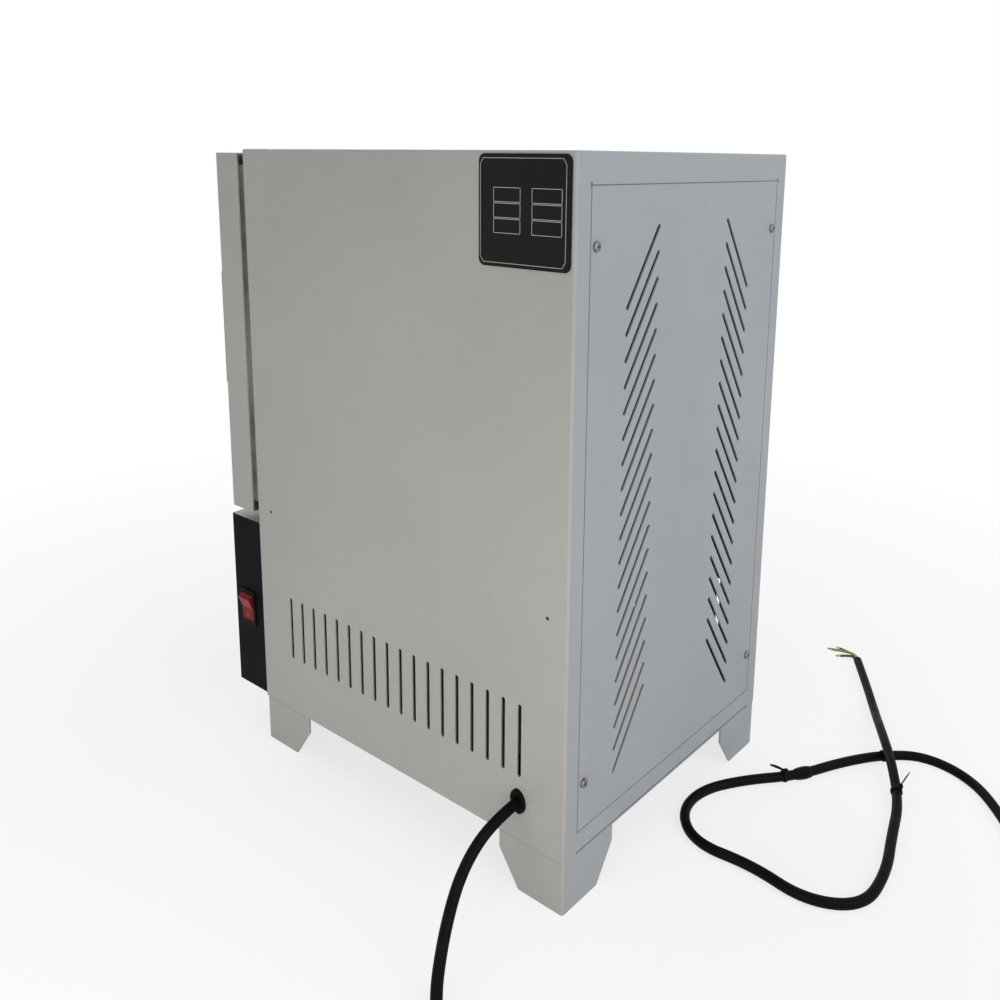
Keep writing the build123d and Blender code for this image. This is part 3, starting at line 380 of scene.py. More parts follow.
def striped_core(name, first, second):
    """Core insulation in one colour, with a stripe of a second one where they differ."""
    material, tree, shader = new_material(name)
    shader.inputs["Roughness"].default_value = 0.42
    place = add(tree, "ShaderNodeTexCoord")
    wave = add(tree, "ShaderNodeTexWave", Scale=140.0, Distortion=0.6, bands_direction="DIAGONAL")
    link(tree, place, "Object", wave, "Vector")
    stripe = ramp(tree, wave, "Fac", [(0.45, first), (0.55, second)])
    link(tree, stripe, "Color", shader, "Base Color")
    skin = noise(tree, place, 900.0, 2.0)
    bump(tree, shader, [(skin, "Fac", 0.00008, 0.3)])
    return material


casing_grey = (0.356, 0.358, 0.358)
finishes = {
    "casing_paint": powder_coat("casing_paint", casing_grey, 0.44, 0.00022, 0.30, 0.35),
    "control_paint": powder_coat("control_paint", (0.0042, 0.0060, 0.0072), 0.52, 0.00012, 0.10, 0.03),
    # The zinc sheet's colour is far darker than bare zinc: painted shade, so that the casing's inside looks dark
    # through the slots
    "zinc_sheet": brushed_metal("zinc_sheet", (0.085, 0.088, 0.092), 0.55, (1.0, 0.05, 1.0), 0.35),
    # The stainless sheet's colour is darker than bare stainless: painted shade for the door's inner panel in the
    # gap by the casing
    "stainless_sheet": brushed_metal("stainless_sheet", (0.310, 0.305, 0.295), 0.34, (0.04, 1.0, 1.0), 0.30),
    "fibre_board": fibre("fibre_board", (0.78, 0.765, 0.725), 0.0007),
    "fibre_blanket": fibre("fibre_blanket", (0.80, 0.79, 0.76), 0.0022),
    "seal_braid": seal_braid("seal_braid", (0.13, 0.128, 0.118)),
    "element_wire": oxidised_wire("element_wire"),
    "alumina": refractory("alumina", (0.74, 0.71, 0.64), 900.0),
    "hearth_ceramic": refractory("hearth_ceramic", (0.52, 0.46, 0.37), 420.0),
    "cast_aluminium": brushed_metal("cast_aluminium", (0.52, 0.52, 0.53), 0.50, (1.0, 1.0, 1.0), 0.2),
    "plate_black": clear_plastic("plate_black", (0.0045, 0.0045, 0.006), 0.38, 0.0, 0.12),
    "screw_chrome": rusty_plating("screw_chrome", (0.260, 0.255, 0.250)),
    "hinge_steel": brushed_metal("hinge_steel", (0.50, 0.50, 0.50), 0.32, (1.0, 1.0, 0.05), 0.25),
    "handle_black": clear_plastic("handle_black", (0.012, 0.012, 0.013), 0.24, 0.3),
    "handle_steel": brushed_metal("handle_steel", (0.60, 0.60, 0.61), 0.26, (1.0, 0.05, 1.0), 0.15),
    "catch_black": moulded_plastic("catch_black", (0.016, 0.016, 0.017), 0.5, 0.00004),
    "controller_black": moulded_plastic("controller_black", (0.014, 0.015, 0.017), 0.46, 0.00005),
    "window_smoke": clear_plastic("window_smoke", (0.006, 0.006, 0.008), 0.06, 0.6),
    "key_grey": moulded_plastic("key_grey", (0.24, 0.25, 0.26), 0.55, 0.00004),
    "lamp_bezel": brushed_metal("lamp_bezel", (0.58, 0.58, 0.59), 0.22, (1.0, 1.0, 1.0), 0.1),
    "lamp_lens": clear_plastic("lamp_lens", (0.40, 0.030, 0.016), 0.10, 0.8),
    "switch_black": moulded_plastic("switch_black", (0.004, 0.004, 0.0045), 0.40, 0.00003, 0.05),
    "rocker_red": clear_plastic("rocker_red", (0.19, 0.0045, 0.0045), 0.26, 0.0, 0.08),
    "sink_aluminium": brushed_metal("sink_aluminium", (0.52, 0.53, 0.54), 0.42, (1.0, 0.05, 1.0), 0.2),
    "relay_plastic": moulded_plastic("relay_plastic", (0.52, 0.51, 0.46), 0.5, 0.00004),
    "terminal_plastic": moulded_plastic("terminal_plastic", (0.022, 0.022, 0.023), 0.5, 0.00004),
    "grommet_rubber": black_rubber("grommet_rubber", (0.0030, 0.0030, 0.0034), 0.55, 900.0),
    "cord_rubber": black_rubber("cord_rubber", (0.0030, 0.0032, 0.0046), 0.42, 420.0),
    "core_insulation": striped_core("core_insulation", (0.02, 0.03, 0.14), (0.02, 0.03, 0.14)),
}

# Finishes of the scene's own small pieces
line_paint = moulded_plastic("line_paint", (0.42, 0.43, 0.42), 0.5, 0.00002)
dark_steel = brushed_metal("dark_steel", (0.045, 0.043, 0.042), 0.5, (1.0, 1.0, 1.0), 0.4)
unlit_segment = moulded_plastic("unlit_segments", (0.020, 0.021, 0.022), 0.3, 0.00002)
print_white = moulded_plastic("print_white", (0.50, 0.50, 0.49), 0.5, 0.00002)
rocker_print = moulded_plastic("rocker_print", (0.27, 0.10, 0.10), 0.5, 0.00002)
copper = brushed_metal("copper", (0.62, 0.34, 0.22), 0.35, (1.0, 1.0, 1.0), 0.3)
tie_black = moulded_plastic("tie_black", (0.0035, 0.0035, 0.004), 0.4, 0.00002, 0.06)


def dress_nodes():
    """Each node takes the finish of its slot in the record."""
    for row in frame["record"]["subparts"]:
        mesh = nodes[row["node"]].data
        mesh.materials.clear()
        mesh.materials.append(finishes[row["material_slot"]])


# Mesh helpers


def new_piece(name, build, material, body):
    """A mesh piece in the row's frame, made by a function that fills a bmesh."""
    work = bmesh.new()
    build(work)
    mesh = bpy.data.meshes.new(name)
    work.to_mesh(mesh)
    work.free()
    mesh.materials.append(material)
    piece = bpy.data.objects.new(name, mesh)
    bpy.context.scene.collection.objects.link(piece)
    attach(piece, body)
    return piece


def join_rings(work, near, far):
    """Faces between two closed loops of as many points."""
    for step in range(len(near)):
        after = (step + 1) % len(near)
        work.faces.new((near[step], near[after], far[after], far[step]))


def add_bar(work, start, end, width, normal, height):
    """A flat bar from start to end, width wide across and rising by height along the normal."""
    along = (end - start).normalized()
    across = along.cross(normal).normalized() * width / 2
    rise = normal * height
    ends = [start - along * width / 2, end + along * width / 2]
    corners = []
    for lift in (Vector(), rise):
        for point in ends:
            corners.append(work.verts.new(point + across + lift))
            corners.append(work.verts.new(point - across + lift))
    low_a, low_b, low_c, low_d, top_a, top_b, top_c, top_d = corners
    for loop in (
        (low_a, low_b, low_d, low_c),
        (top_a, top_c, top_d, top_b),
        (low_a, low_c, top_c, top_a),
        (low_b, top_b, top_d, low_d),
        (low_a, top_a, top_b, low_b),
        (low_c, low_d, top_d, top_c),
    ):
        work.faces.new(loop)


def add_ring(work, place, outer, inner, normal, height, count=28):
    """A flat ring that stands up by height along the normal."""
    turn = Vector((0, 0, 1)).rotation_difference(normal)
    loops = []
    for radius, lift in ((outer, 0), (outer, height), (inner, height), (inner, 0)):
        loop = []
        for step in range(count):
            angle = math.tau * step / count
            point = Vector((radius * math.cos(angle), radius * math.sin(angle), lift))
            loop.append(work.verts.new(place + turn @ point))
        loops.append(loop)
    for near, far in zip(loops, loops[1:] + loops[:1]):
        join_rings(work, near, far)


def add_plate(work, corners, normal, height):
    """A flat polygon with sides that rise by height along the normal."""
    low = [work.verts.new(corner) for corner in corners]
    high = [work.verts.new(corner + normal * height) for corner in corners]
    work.faces.new(low[::-1])
    work.faces.new(high)
    join_rings(work, low, high)


# A screw head's outline as shares of its radius and height, and its cross recess
head_profile = ((1.0, 0.0), (1.0, 0.45), (0.9, 0.8), (0.72, 1.0))
head_points = 32
cross_reach = 0.55
cross_half_width = 0.13
cross_taper = 0.8
cross_floor = 0.35


def add_screw_head(work, place, outward, radius, height, turned):
    """A low screw head with a cross recess. turned is the cross's angle in degrees."""
    turn = Vector((0, 0, 1)).rotation_difference(outward)
    spin = Matrix.Rotation(math.radians(turned), 3, "Z")

    def put(x, y, z):
        return work.verts.new(place + turn @ (spin @ Vector((x, y, z))))

    rings = []
    for share, lift in head_profile:
        ring = []
        for step in range(head_points):
            angle = math.tau * step / head_points
            reach = radius * share
            ring.append(put(reach * math.cos(angle), reach * math.sin(angle), height * lift))
        rings.append(ring)
    for near, far in zip(rings, rings[1:]):
        join_rings(work, near, far)
    long, thin = radius * cross_reach, radius * cross_half_width
    outline = [
        (thin, thin), (thin, long), (-thin, long), (-thin, thin), (-long, thin), (-long, -thin),
        (-thin, -thin), (-thin, -long), (thin, -long), (thin, -thin), (long, -thin), (long, thin),
    ]
    top = [put(x, y, height) for x, y in outline]
    bottom = [put(x * cross_taper, y * cross_taper, height * cross_floor) for x, y in outline]
    join_rings(work, top, bottom)
    edges = []
    for loop in (rings[-1], top):
        for near, far in zip(loop, loop[1:] + loop[:1]):
            edges.append(work.edges.get((near, far)))
    work.faces.new(bottom)
    bmesh.ops.triangle_fill(work, edges=edges, use_beauty=True)


def smooth_by_angle(piece, degrees=35):
    """Smooth shading, with edges sharper than the angle kept sharp."""
    for polygon in piece.data.polygons:
        polygon.use_smooth = True
    piece.data.set_sharp_from_angle(angle=math.radians(degrees))


# Rating plate, bare but for its border and empty cells

plate_low, plate_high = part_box("rating_plate")
line_width = 0.00045
line_height = 0.00012
border_front = 0.0018
border_rear = 0.0052
border_top = 0.0034
border_bottom = 0.0032
notch_width = 0.0030
notch_height = 0.0046
cell_columns = ((0.0160, 0.0436), (0.0556, 0.0849))
cell_rows = ((0.0262, 0.0373), (0.0384, 0.0496), (0.0507, 0.0618))


def plate_point(across, down):
    """A point on the plate's face, from its front top corner."""
    return Vector((plate_high.x, plate_low.y + across, plate_high.z - down))


def build_plate_lines(work):
    """Border with cut corners, and two columns of three cells."""
    width = plate_high.y - plate_low.y
    height = plate_high.z - plate_low.z
    left, right = border_front, width - border_rear
    top, bottom = border_top, height - border_bottom
    border = [
        (left + notch_width, top),
        (right - notch_width, top),
        (right, top + notch_height),
        (right, bottom - notch_height),
        (right - notch_width, bottom),
        (left + notch_width, bottom),
        (left, bottom - notch_height),
        (left, top + notch_height),
    ]
    loops = [border]
    for near, far in cell_columns:
        for high, low in cell_rows:
            loops.append([(near, high), (far, high), (far, low), (near, low)])
    outward = Vector((1, 0, 0))
    for loop in loops:
        for start, end in zip(loop, loop[1:] + loop[:1]):
            add_bar(work, plate_point(*start), plate_point(*end), line_width, outward, line_height)


# Small fasteners

rivet_radius = 0.0017
rivet_height = 0.0006
rivet_y = 0.1885
rivet_z = 0.272


def add_rivet(work, place, outward):
    """A low domed rivet head with its flat side on the sheet."""
    turn = Vector((0, 0, 1)).rotation_difference(outward).to_matrix().to_4x4()
    made = bmesh.ops.create_uvsphere(work, u_segments=16, v_segments=8, radius=rivet_radius)
    squash = Matrix.Diagonal((1, 1, rivet_height / rivet_radius, 1))
    bmesh.ops.transform(work, matrix=Matrix.Translation(place) @ turn @ squash, verts=made["verts"])


def build_shelf_rivets(work):
    """Two rivets on each side wall at the shelf's height, front and rear."""
    for side, x in ((-1, casing_low.x), (1, casing_high.x)):
        for y in (-rivet_y, rivet_y):
            add_rivet(work, Vector((x, casing.y + y, rivet_z)), Vector((side, 0, 0)))


hinge_screw_radius = 0.0036
hinge_screw_height = 0.0011
hinge_screw_spread = 0.019
hinge_leaf_thickness = 0.002
hinge_half_leaf = 0.030
hinge_knuckle = 0.0075


def build_hinge_screws(work, node, outer_x, seed):
    """Two screws in each leaf of a node, at the middle of the leaf's flat part."""
    low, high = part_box(node)
    pins_low, pins_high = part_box("hinge_pins")
    axis_y = (pins_low.y + pins_high.y) / 2
    if high.y - axis_y > axis_y - low.y:
        y = (axis_y + hinge_knuckle + high.y) / 2
    else:
        y = (axis_y - hinge_knuckle + low.y) / 2
    outward = Vector((-1, 0, 0))
    turns = random.Random(seed)
    for z in (low.z + hinge_half_leaf, high.z - hinge_half_leaf):
        for step in (-hinge_screw_spread, hinge_screw_spread):
            place = Vector((outer_x, y, z + step))
            turned = turns.uniform(0, 90)
            add_screw_head(work, place, outward, hinge_screw_radius, hinge_screw_height, turned)


def make_hinge_screws():
    """Screws that hold the hinge leaves on the casing and on the door."""
    outer_x = casing_low.x - hinge_leaf_thickness
    for node, body, seed in (("hinge_leaves_casing", "cabinet", 3), ("hinge_leaves_door", "door", 4)):
        piece = new_piece(
            f"{node}_screws",
            lambda work: build_hinge_screws(work, node, outer_x, seed),
            finishes["screw_chrome"],
            body,
        )
        smooth_by_angle(piece, 30)


# Marks on the controls, plain digits and signs only

print_height = 0.00008
segment_width = 0.0011
segment_gap = 0.75 * segment_width
digit_count = 4
digit_space = 0.0066
front = Vector((0, -1, 0))

# The seven segments of a digit, from and to, as shares of its width and height
segments = (
    ((0, 1), (1, 1)),
    ((0, 0.5), (1, 0.5)),
    ((0, 0), (1, 0)),
    ((0, 0.5), (0, 1)),
    ((0, 0), (0, 0.5)),
    ((1, 0.5), (1, 1)),
    ((1, 0), (1, 0.5)),
)

# Each row of digits with its digits' height and width, and its place above the window's middle
digit_rows = {"upper": (0.0125, 0.0072, 0.0062), "lower": (0.0088, 0.0052, -0.0125)}


def build_digits(work, row_name):
    """One row of unlit digits on the controller's window, every segment of them."""
    low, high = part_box("controller_window")
    tall, wide, rise = digit_rows[row_name]
    middle_x = (low.x + high.x) / 2
    middle_z = (low.z + high.z) / 2 + rise
    pitch = wide + digit_space
    for place in range(digit_count):
        left = middle_x + (place - (digit_count - 1) / 2) * pitch - wide / 2
        bottom = middle_z - tall / 2
        for (x0, z0), (x1, z1) in segments:
            start = Vector((left + x0 * wide, low.y, bottom + z0 * tall))
            end = Vector((left + x1 * wide, low.y, bottom + z1 * tall))
            along = (end - start).normalized() * segment_gap
            add_bar(work, start + along, end - along, segment_width, front, print_height)


# Each key's sign as its outline's X and Z in millimetres from the key's middle
millimetre = 0.001
key_signs = {
    "1": [(-0.9, -0.9), (0.9, -0.9), (0.9, 0.9), (-0.9, 0.9)],
    "2": [(-1.3, 0), (0.8, -1.3), (0.8, 1.3)],
    "3": [(-1.3, 0.8), (0, -1.3), (1.3, 0.8)],
    "4": [(-1.3, -0.8), (1.3, -0.8), (0, 1.3)],
}


def make_key_signs():
    """A plain sign on each key: square, left, down and up."""
    for number, outline in key_signs.items():
        low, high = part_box(f"controller_key_{number}")
        key_middle = Vector(((low.x + high.x) / 2, low.y, (low.z + high.z) / 2))
        corners = [key_middle + Vector((x, 0, z)) * millimetre for x, z in outline]

        def build(work):
            add_plate(work, corners, front, print_height)

        new_piece(f"key_sign_{number}", build, print_white, f"key_{number}")


# The rocker's two facets meet in its valley, and each ends in a corner. Both are from its pivot
rocker_turn = math.radians(11.8)
rocker_valley = Vector((0.0055, 0, 0))
corner_out = 0.0081
corner_up = 0.01403
sign_size = 0.0026
sign_line = 0.0009
ring_line = 0.0008
sign_share = 0.55


def build_rocker_signs(work):
    """A bar on the upper half and a ring on the lower half."""
    joint = next(row for row in frame["joints"] if row["name"] == "rocker_pivot")
    pivot = Vector(joint["pos_m"])
    turn = Matrix.Rotation(rocker_turn, 3, "Y")
    valley = turn @ rocker_valley
    for half in (1, -1):
        tip = turn @ Vector((corner_out, 0, half * corner_up))
        along = (tip - valley).normalized()
        normal = along.cross(Vector((0, 1, 0)))
        if normal.x < 0:
            normal = -normal
        place = pivot + valley + along * (tip - valley).length * sign_share
        reach = along * sign_size
        if half == 1:
            add_bar(work, place - reach, place + reach, sign_line, normal, print_height)
        else:
            add_ring(work, place, sign_size, sign_size - ring_line, normal, print_height)


# Cord and its pieces


def cord_points():
    """The route in the row's frame."""
    return [casing + Vector(point) for point in cord_route]


def nurbs_curve(name, routes, radius, material):
    """Round curves in one piece, each with its points as the control points of a smooth spline."""
    data = bpy.data.curves.new(name, "CURVE")
    data.dimensions = "3D"
    data.bevel_depth = radius
    data.bevel_resolution = 5
    data.use_fill_caps = True
    for points in routes:
        spline = data.splines.new("NURBS")
        spline.points.add(len(points) - 1)
        for target, point in zip(spline.points, points):
            target.co = (*point, 1)
        spline.order_u = 3
        spline.use_endpoint_u = True
        spline.resolution_u = 10
    data.materials.append(material)
    piece = bpy.data.objects.new(name, data)
    bpy.context.scene.collection.objects.link(piece)
    return piece


core_radius = 0.0016

# Each core's name, place in the cord, tip about the casing's centre line, and its two colours
core_rows = [
    ("core_earth", (0, 0.0021), (-0.4375, 0.193), (0.10, 0.26, 0.05), (0.36, 0.34, 0.03)),
    ("core_live", (0.0021, -0.0012), (-0.4275, 0.209), (0.060, 0.030, 0.018), (0.060, 0.030, 0.018)),
    ("core_neutral", (-0.0021, -0.0012), (-0.4465, 0.201), (0.012, 0.025, 0.11), (0.012, 0.025, 0.11)),
]
core_root = 0.004
core_straight = 0.011
core_arch = 0.001
strand_count = 7
strand_radius = 0.00028
strand_length = 0.007
strand_root = 0.002

# How far the strands stand from the core's middle at their start, half way and at their end
spread_start = 0.0008
spread_more = 0.0005
spread_end = 0.0012


def bare_strands(tip, out):
    """Routes of the bare strands at a core's tip, where out is the way that the core points."""
    side = out.cross(Vector((0, 0, 1))).normalized()
    up = side.cross(out)
    strands = []
    for number in range(strand_count):
        turn = math.tau * number / strand_count
        spread = side * math.cos(turn) + up * math.sin(turn)
        start = tip - out * strand_root + spread * spread_start
        finish = tip + out * strand_length * random.uniform(0.8, 1.0) + spread * spread_end
        finish.z = max(finish.z, strand_radius)
        half_way = (start + finish) / 2 + spread * spread_more
        half_way.z = max(half_way.z, strand_radius)
        strands.append([start, half_way, finish])
    return strands


def make_cores():
    """Three coloured cores that bend to one side, each with a few bare strands at its tip."""
    points = cord_points()
    end = points[-1]
    along = (end - points[-2]).normalized()
    across = Vector((-along.y, along.x, 0))
    made = []
    for name, (aside, lift), (tip_x, tip_y), first, second in core_rows:
        root = end - along * core_root + across * aside + Vector((0, 0, lift))
        knee = end + along * core_straight + across * aside + Vector((0, 0, lift))
        tip = casing + Vector((tip_x, tip_y, core_radius))
        middle = (knee + tip) / 2 + Vector((0, 0, core_arch))
        insulation = striped_core(name, first, second)
        made.append(nurbs_curve(name, [[root, knee, middle, tip]], core_radius, insulation))
        strands = bare_strands(tip, (tip - middle).normalized())
        made.append(nurbs_curve(f"{name}_strands", strands, strand_radius, copper))
    for piece in made:
        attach(piece, "cabinet")
    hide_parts("cord_cores")
    return made


tie_width = 0.0040
tie_thickness = 0.0011
tie_head = (0.0056, 0.0050, 0.0048)
tie_head_sunk = 0.0004
tie_head_bevel = 0.0007
tail_rise = 0.0025
tail_steps = 8

# The band's profile, as shares of the tie's width along the cord, and how far its edges are rounded
band_edge = 0.5
band_flat = 0.38
band_rounding = 0.3

# Where the tail bends, turns and narrows, and its widths, as shares of its length and of the tie's width
tail_bend = 0.45
tail_turn_place = 0.3
tail_tip_place = 0.85
tail_root_turn, tail_end_turn = 0.2, 0.6
tail_width, tail_tip_width = 0.9, 0.6
floor_clearance = 0.0002

# Each tie's name, distance along the cord, head's angle about it, tail's reach and tail's thickness
tie_rows = [
    ("tie_near_loop", 1.241, 70, (0.0057, -0.0147, 0.0040), 0.0011),
    ("tie_crossing", 1.116, 20, (-0.0060, 0.0035, 0.0030), 0.0011),
    ("tie_run", 1.757, 110, (-0.0085, 0.0050, 0.0125), 0.0042),
]
wrap_place = 1.2186
wrap_length = 0.019
wrap_turns = 7
wrap_rise = 0.0012
wrap_fit = 0.0002
wrap_ridge = 0.00035
wrap_steps_each_turn = 4


def cord_line():
    """Points along the cord's middle, read from its own spline, with their distances from the start."""
    bare = nurbs_curve("cord_line", [cord_points()], 0, finishes["cord_rubber"])
    bpy.context.view_layer.update()
    mesh = bpy.data.meshes.new_from_object(bare)
    points = [vertex.co.copy() for vertex in mesh.vertices]
    bpy.data.objects.remove(bare)
    bpy.data.meshes.remove(mesh)
    distances = [0.0]
    for near, far in zip(points, points[1:]):
        distances.append(distances[-1] + (far - near).length)
    return points, distances


def on_cord(line, distance):
    """The point at a distance along the cord, and the directions along it and across it."""
    points, distances = line
    index = next(step for step, reach in enumerate(distances) if reach >= distance)
    near, far = points[index - 1], points[index]
    share = (distance - distances[index - 1]) / (distances[index] - distances[index - 1])
    along = (far - near).normalized()
    across = Vector((-along.y, along.x, 0)).normalized()
    return near.lerp(far, share), along, across


def add_sleeve(work, sections, count=24):
    """A closed tube through sections, each as (middle, across, up, radius), kept above the floor."""
    rings = []
    for centre, across, up, radius in sections:
        ring = []
        for step in range(count):
            angle = math.tau * step / count
            point = centre + across * math.cos(angle) * radius + up * math.sin(angle) * radius
            point.z = max(point.z, floor_clearance)
            ring.append(work.verts.new(point))
        rings.append(ring)
    for near, far in zip(rings, rings[1:]):
        join_rings(work, near, far)
    work.faces.new(rings[0][::-1])
    work.faces.new(rings[-1])


def build_tie(work, line, distance, head_angle, tail, tail_thickness):
    """A cable tie: a band, its head and a tail that leaves the head."""
    centre, along, across = on_cord(line, distance)
    up = along.cross(across)
    if up.z < 0:
        up = -up
    band = cord_diameter / 2 + tie_thickness
    shoulder = band - tie_thickness * band_rounding
    profile = ((-band_edge, shoulder), (-band_flat, band), (band_flat, band), (band_edge, shoulder))
    sections = []
    for step, radius in profile:
        sections.append((centre + along * tie_width * step, across, up, radius))
    add_sleeve(work, sections)
    angle = math.radians(head_angle)
    outward = across * math.cos(angle) + up * math.sin(angle)
    sideways = outward.cross(along)
    seat = centre + outward * (band + tie_head[2] / 2 - tie_head_sunk)
    made = bmesh.ops.create_cube(work, size=1)
    head_turn = Matrix((along, sideways, outward)).transposed().to_4x4()
    size = Matrix.Diagonal((*tie_head, 1))
    bmesh.ops.transform(work, matrix=Matrix.Translation(seat) @ head_turn @ size, verts=made["verts"])
    edges = list({edge for vertex in made["verts"] for edge in vertex.link_edges})
    bmesh.ops.bevel(work, geom=edges, offset=tie_head_bevel, segments=2, affect="EDGES")
    end = seat + Vector(tail)
    bend = seat + Vector(tail) * tail_bend + outward * tail_rise
    crosswise = Vector(tail).normalized().cross(outward)
    thick = outward * tail_thickness / 2
    last = None
    for step in range(tail_steps + 1):
        share = step / tail_steps
        point = seat * (1 - share) ** 2 + bend * 2 * share * (1 - share) + end * share**2
        width = tie_width * (tail_width if share < tail_tip_place else tail_tip_width) / 2
        turned = tail_end_turn if share > tail_turn_place else tail_root_turn
        wide = along.lerp(crosswise, turned).normalized()
        corners = []
        for side, lift in ((1, 1), (-1, 1), (-1, -1), (1, -1)):
            corner = point + wide * width * side + thick * lift
            corner.z = max(corner.z, floor_clearance)
            corners.append(work.verts.new(corner))
        if last:
            join_rings(work, last, corners)
        else:
            work.faces.new(corners[::-1])
        last = corners
    work.faces.new(last)


def build_wrap(work, line):
    """A short wrap of tape, with a ridge at each turn."""
    sections = []
    count = wrap_turns * wrap_steps_each_turn
    for step in range(count + 1):
        share = step / count
        centre, along, across = on_cord(line, wrap_place + (share - 0.5) * wrap_length)
        up = along.cross(across)
        swell = math.sin(math.pi * share) ** 0.5
        ridge = wrap_ridge * math.sin(math.tau * wrap_turns * share)
        radius = cord_diameter / 2 + wrap_fit + wrap_rise * swell + ridge * swell
        sections.append((centre, across, up if up.z > 0 else -up, radius))
    add_sleeve(work, sections)


def make_ties():
    """Cable ties and a tape wrap on the cord."""
    line = cord_line()
    made = []
    for name, *values in tie_rows:

        def build(work):
            build_tie(work, line, *values)
            bmesh.ops.recalc_face_normals(work, faces=work.faces)

        made.append(new_piece(name, build, tie_black, "cabinet"))

    def build(work):
        build_wrap(work, line)
        bmesh.ops.recalc_face_normals(work, faces=work.faces)

    made.append(new_piece("tape_wrap", build, tie_black, "cabinet"))
    for piece in made:
        smooth_by_angle(piece, 40)
    return made


def make_cord():
    """The cord as one smooth curve that lies where its solid lies."""
    cord = nurbs_curve("mains_cord", [cord_points()], cord_diameter / 2, finishes["cord_rubber"])
    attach(cord, "cabinet")
    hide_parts("power_cord")
    cores = make_cores()
    ties = make_ties()


# Studio

floor_size = 12.0
floor_near = 0.40
floor_far = 1.25
floor_shadow = 0.26
ambient_light = 0.31
object_middle = (0.0, 0.0, 0.30)


def make_floor():
    """A pale floor that shows white to the camera but keeps a soft shadow near the object."""
    bpy.ops.mesh.primitive_plane_add(size=floor_size)
    floor = bpy.context.object
    floor.name = "floor"
    material = bpy.data.materials.new("floor")
    material.use_nodes = True
    tree = material.node_tree
    tree.nodes.clear()
    place = add(tree, "ShaderNodeTexCoord")
    distance = add(tree, "ShaderNodeVectorMath", operation="LENGTH")
    link(tree, place, "Object", distance, 0)
    fade = add(tree, "ShaderNodeMapRange")
    for name, value in (("From Min", floor_near), ("From Max", floor_far),
                        ("To Min", 1 - floor_shadow), ("To Max", 1.0)):
        fade.inputs[name].default_value = value
    link(tree, distance, "Value", fade, "Value")
    pale = add(tree, "ShaderNodeBsdfDiffuse", Color=(0.90, 0.90, 0.90, 1))
    white = add(tree, "ShaderNodeEmission", Color=(1, 1, 1, 1), Strength=1.0)
    faded = add(tree, "ShaderNodeMixShader")
    link(tree, fade, "Result", faded, "Fac")
    tree.links.new(pale.outputs[0], faded.inputs[1])
    tree.links.new(white.outputs[0], faded.inputs[2])
    seen = add(tree, "ShaderNodeMixShader")
    tree.links.new(seen_rays(tree), seen.inputs[0])
    tree.links.new(pale.outputs[0], seen.inputs[1])
    tree.links.new(faded.outputs[0], seen.inputs[2])
    output = add(tree, "ShaderNodeOutputMaterial")
    tree.links.new(seen.outputs[0], output.inputs["Surface"])
    floor.data.materials.append(material)


def seen_rays(tree):
    """1 for camera, glossy and transmission rays."""
    rays = add(tree, "ShaderNodeLightPath")
    first = add(tree, "ShaderNodeMath", operation="MAXIMUM")
    link(tree, rays, "Is Camera Ray", first, 0)
    link(tree, rays, "Is Glossy Ray", first, 1)
    second = add(tree, "ShaderNodeMath", operation="MAXIMUM")
    tree.links.new(first.outputs[0], second.inputs[0])
    link(tree, rays, "Is Transmission Ray", second, 1)
    return second.outputs[0]


def make_world(ambient):
    """A white surround for what sees it, with a plain soft light of its own."""
    world = bpy.data.worlds.new("studio")
    bpy.context.scene.world = world
    world.use_nodes = True
    tree = world.node_tree
    tree.nodes.clear()
    light = add(tree, "ShaderNodeBackground", Color=(0.95, 0.97, 1.0, 1), Strength=ambient)
    white = add(tree, "ShaderNodeBackground", Color=(1, 1, 1, 1), Strength=1.0)
    mix = add(tree, "ShaderNodeMixShader")
    tree.links.new(seen_rays(tree), mix.inputs[0])
    tree.links.new(light.outputs[0], mix.inputs[1])
    tree.links.new(white.outputs[0], mix.inputs[2])
    output = add(tree, "ShaderNodeOutputWorld")
    tree.links.new(mix.outputs[0], output.inputs["Surface"])


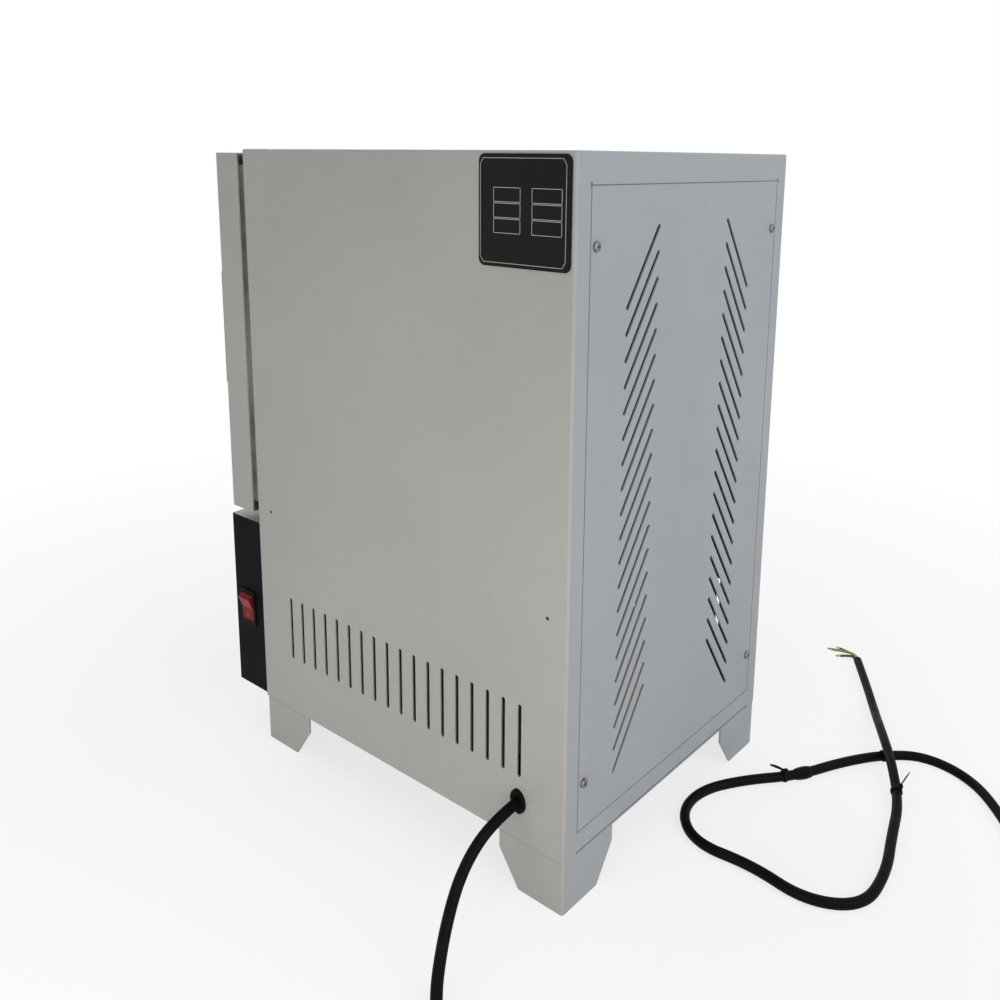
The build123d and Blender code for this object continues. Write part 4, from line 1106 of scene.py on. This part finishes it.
def make_lamp(name, place, target, size, power, colour):
    """A square soft lamp that points at a target."""
    data = bpy.data.lights.new(name, "AREA")
    data.size = size
    data.energy = power
    data.color = colour
    lamp = bpy.data.objects.new(name, data)
    lamp.location = place
    lamp.rotation_euler = (Vector(target) - Vector(place)).to_track_quat("-Z", "Y").to_euler()
    bpy.context.scene.collection.objects.link(lamp)


def make_camera():
    """The camera at the photograph's viewing angle."""
    azimuth, elevation, roll = map(math.radians, (camera_azimuth, camera_elevation, camera_roll))
    forward = Vector(
        (
            math.sin(azimuth) * math.cos(elevation),
            math.cos(azimuth) * math.cos(elevation),
            math.sin(elevation),
        )
    )
    level = Vector((math.cos(azimuth), -math.sin(azimuth), 0))
    upright = level.cross(forward)
    right = level * math.cos(roll) + upright * math.sin(roll)
    up = upright * math.cos(roll) - level * math.sin(roll)
    data = bpy.data.cameras.new("camera")
    data.sensor_width = sensor
    data.lens = focal_share * sensor
    data.shift_x = shift_right
    data.shift_y = shift_up
    camera = bpy.data.objects.new("camera", data)
    turn = Matrix((right, up, -forward)).transposed().to_4x4()
    camera.matrix_world = Matrix.Translation(camera_place) @ turn
    bpy.context.scene.collection.objects.link(camera)
    bpy.context.scene.camera = camera


dress_nodes()
new_piece("plate_lines", build_plate_lines, line_paint, "cabinet")
rivets = new_piece("shelf_rivets", build_shelf_rivets, dark_steel, "cabinet")
smooth_by_angle(rivets)
make_hinge_screws()
for row_name in digit_rows:
    new_piece(
        f"digits_{row_name}",
        lambda work: build_digits(work, row_name),
        unlit_segment,
        "cabinet",
    )
make_key_signs()
new_piece("rocker_signs", build_rocker_signs, rocker_print, "rocker")
make_cord()
make_floor()
make_world(ambient_light)
make_lamp("side_lamp", (1.00, 0.34, 0.10), (0.17, 0.0, 0.12), 0.7, 6.5, (1.0, 0.92, 0.76))
make_lamp("rear_lamp", (0.1, 2.1, 1.3), object_middle, 1.5, 24, (0.79, 0.89, 1.0))
make_lamp("front_lamp", (-0.9, -2.2, 1.5), object_middle, 1.8, 18, (1.0, 0.99, 0.97))
make_lamp("top_lamp", (0.0, 0.0, 2.6), object_middle, 2.0, 14, (1.0, 1.0, 1.0))
make_camera()
bpy.context.scene.view_settings.view_transform = "Standard"
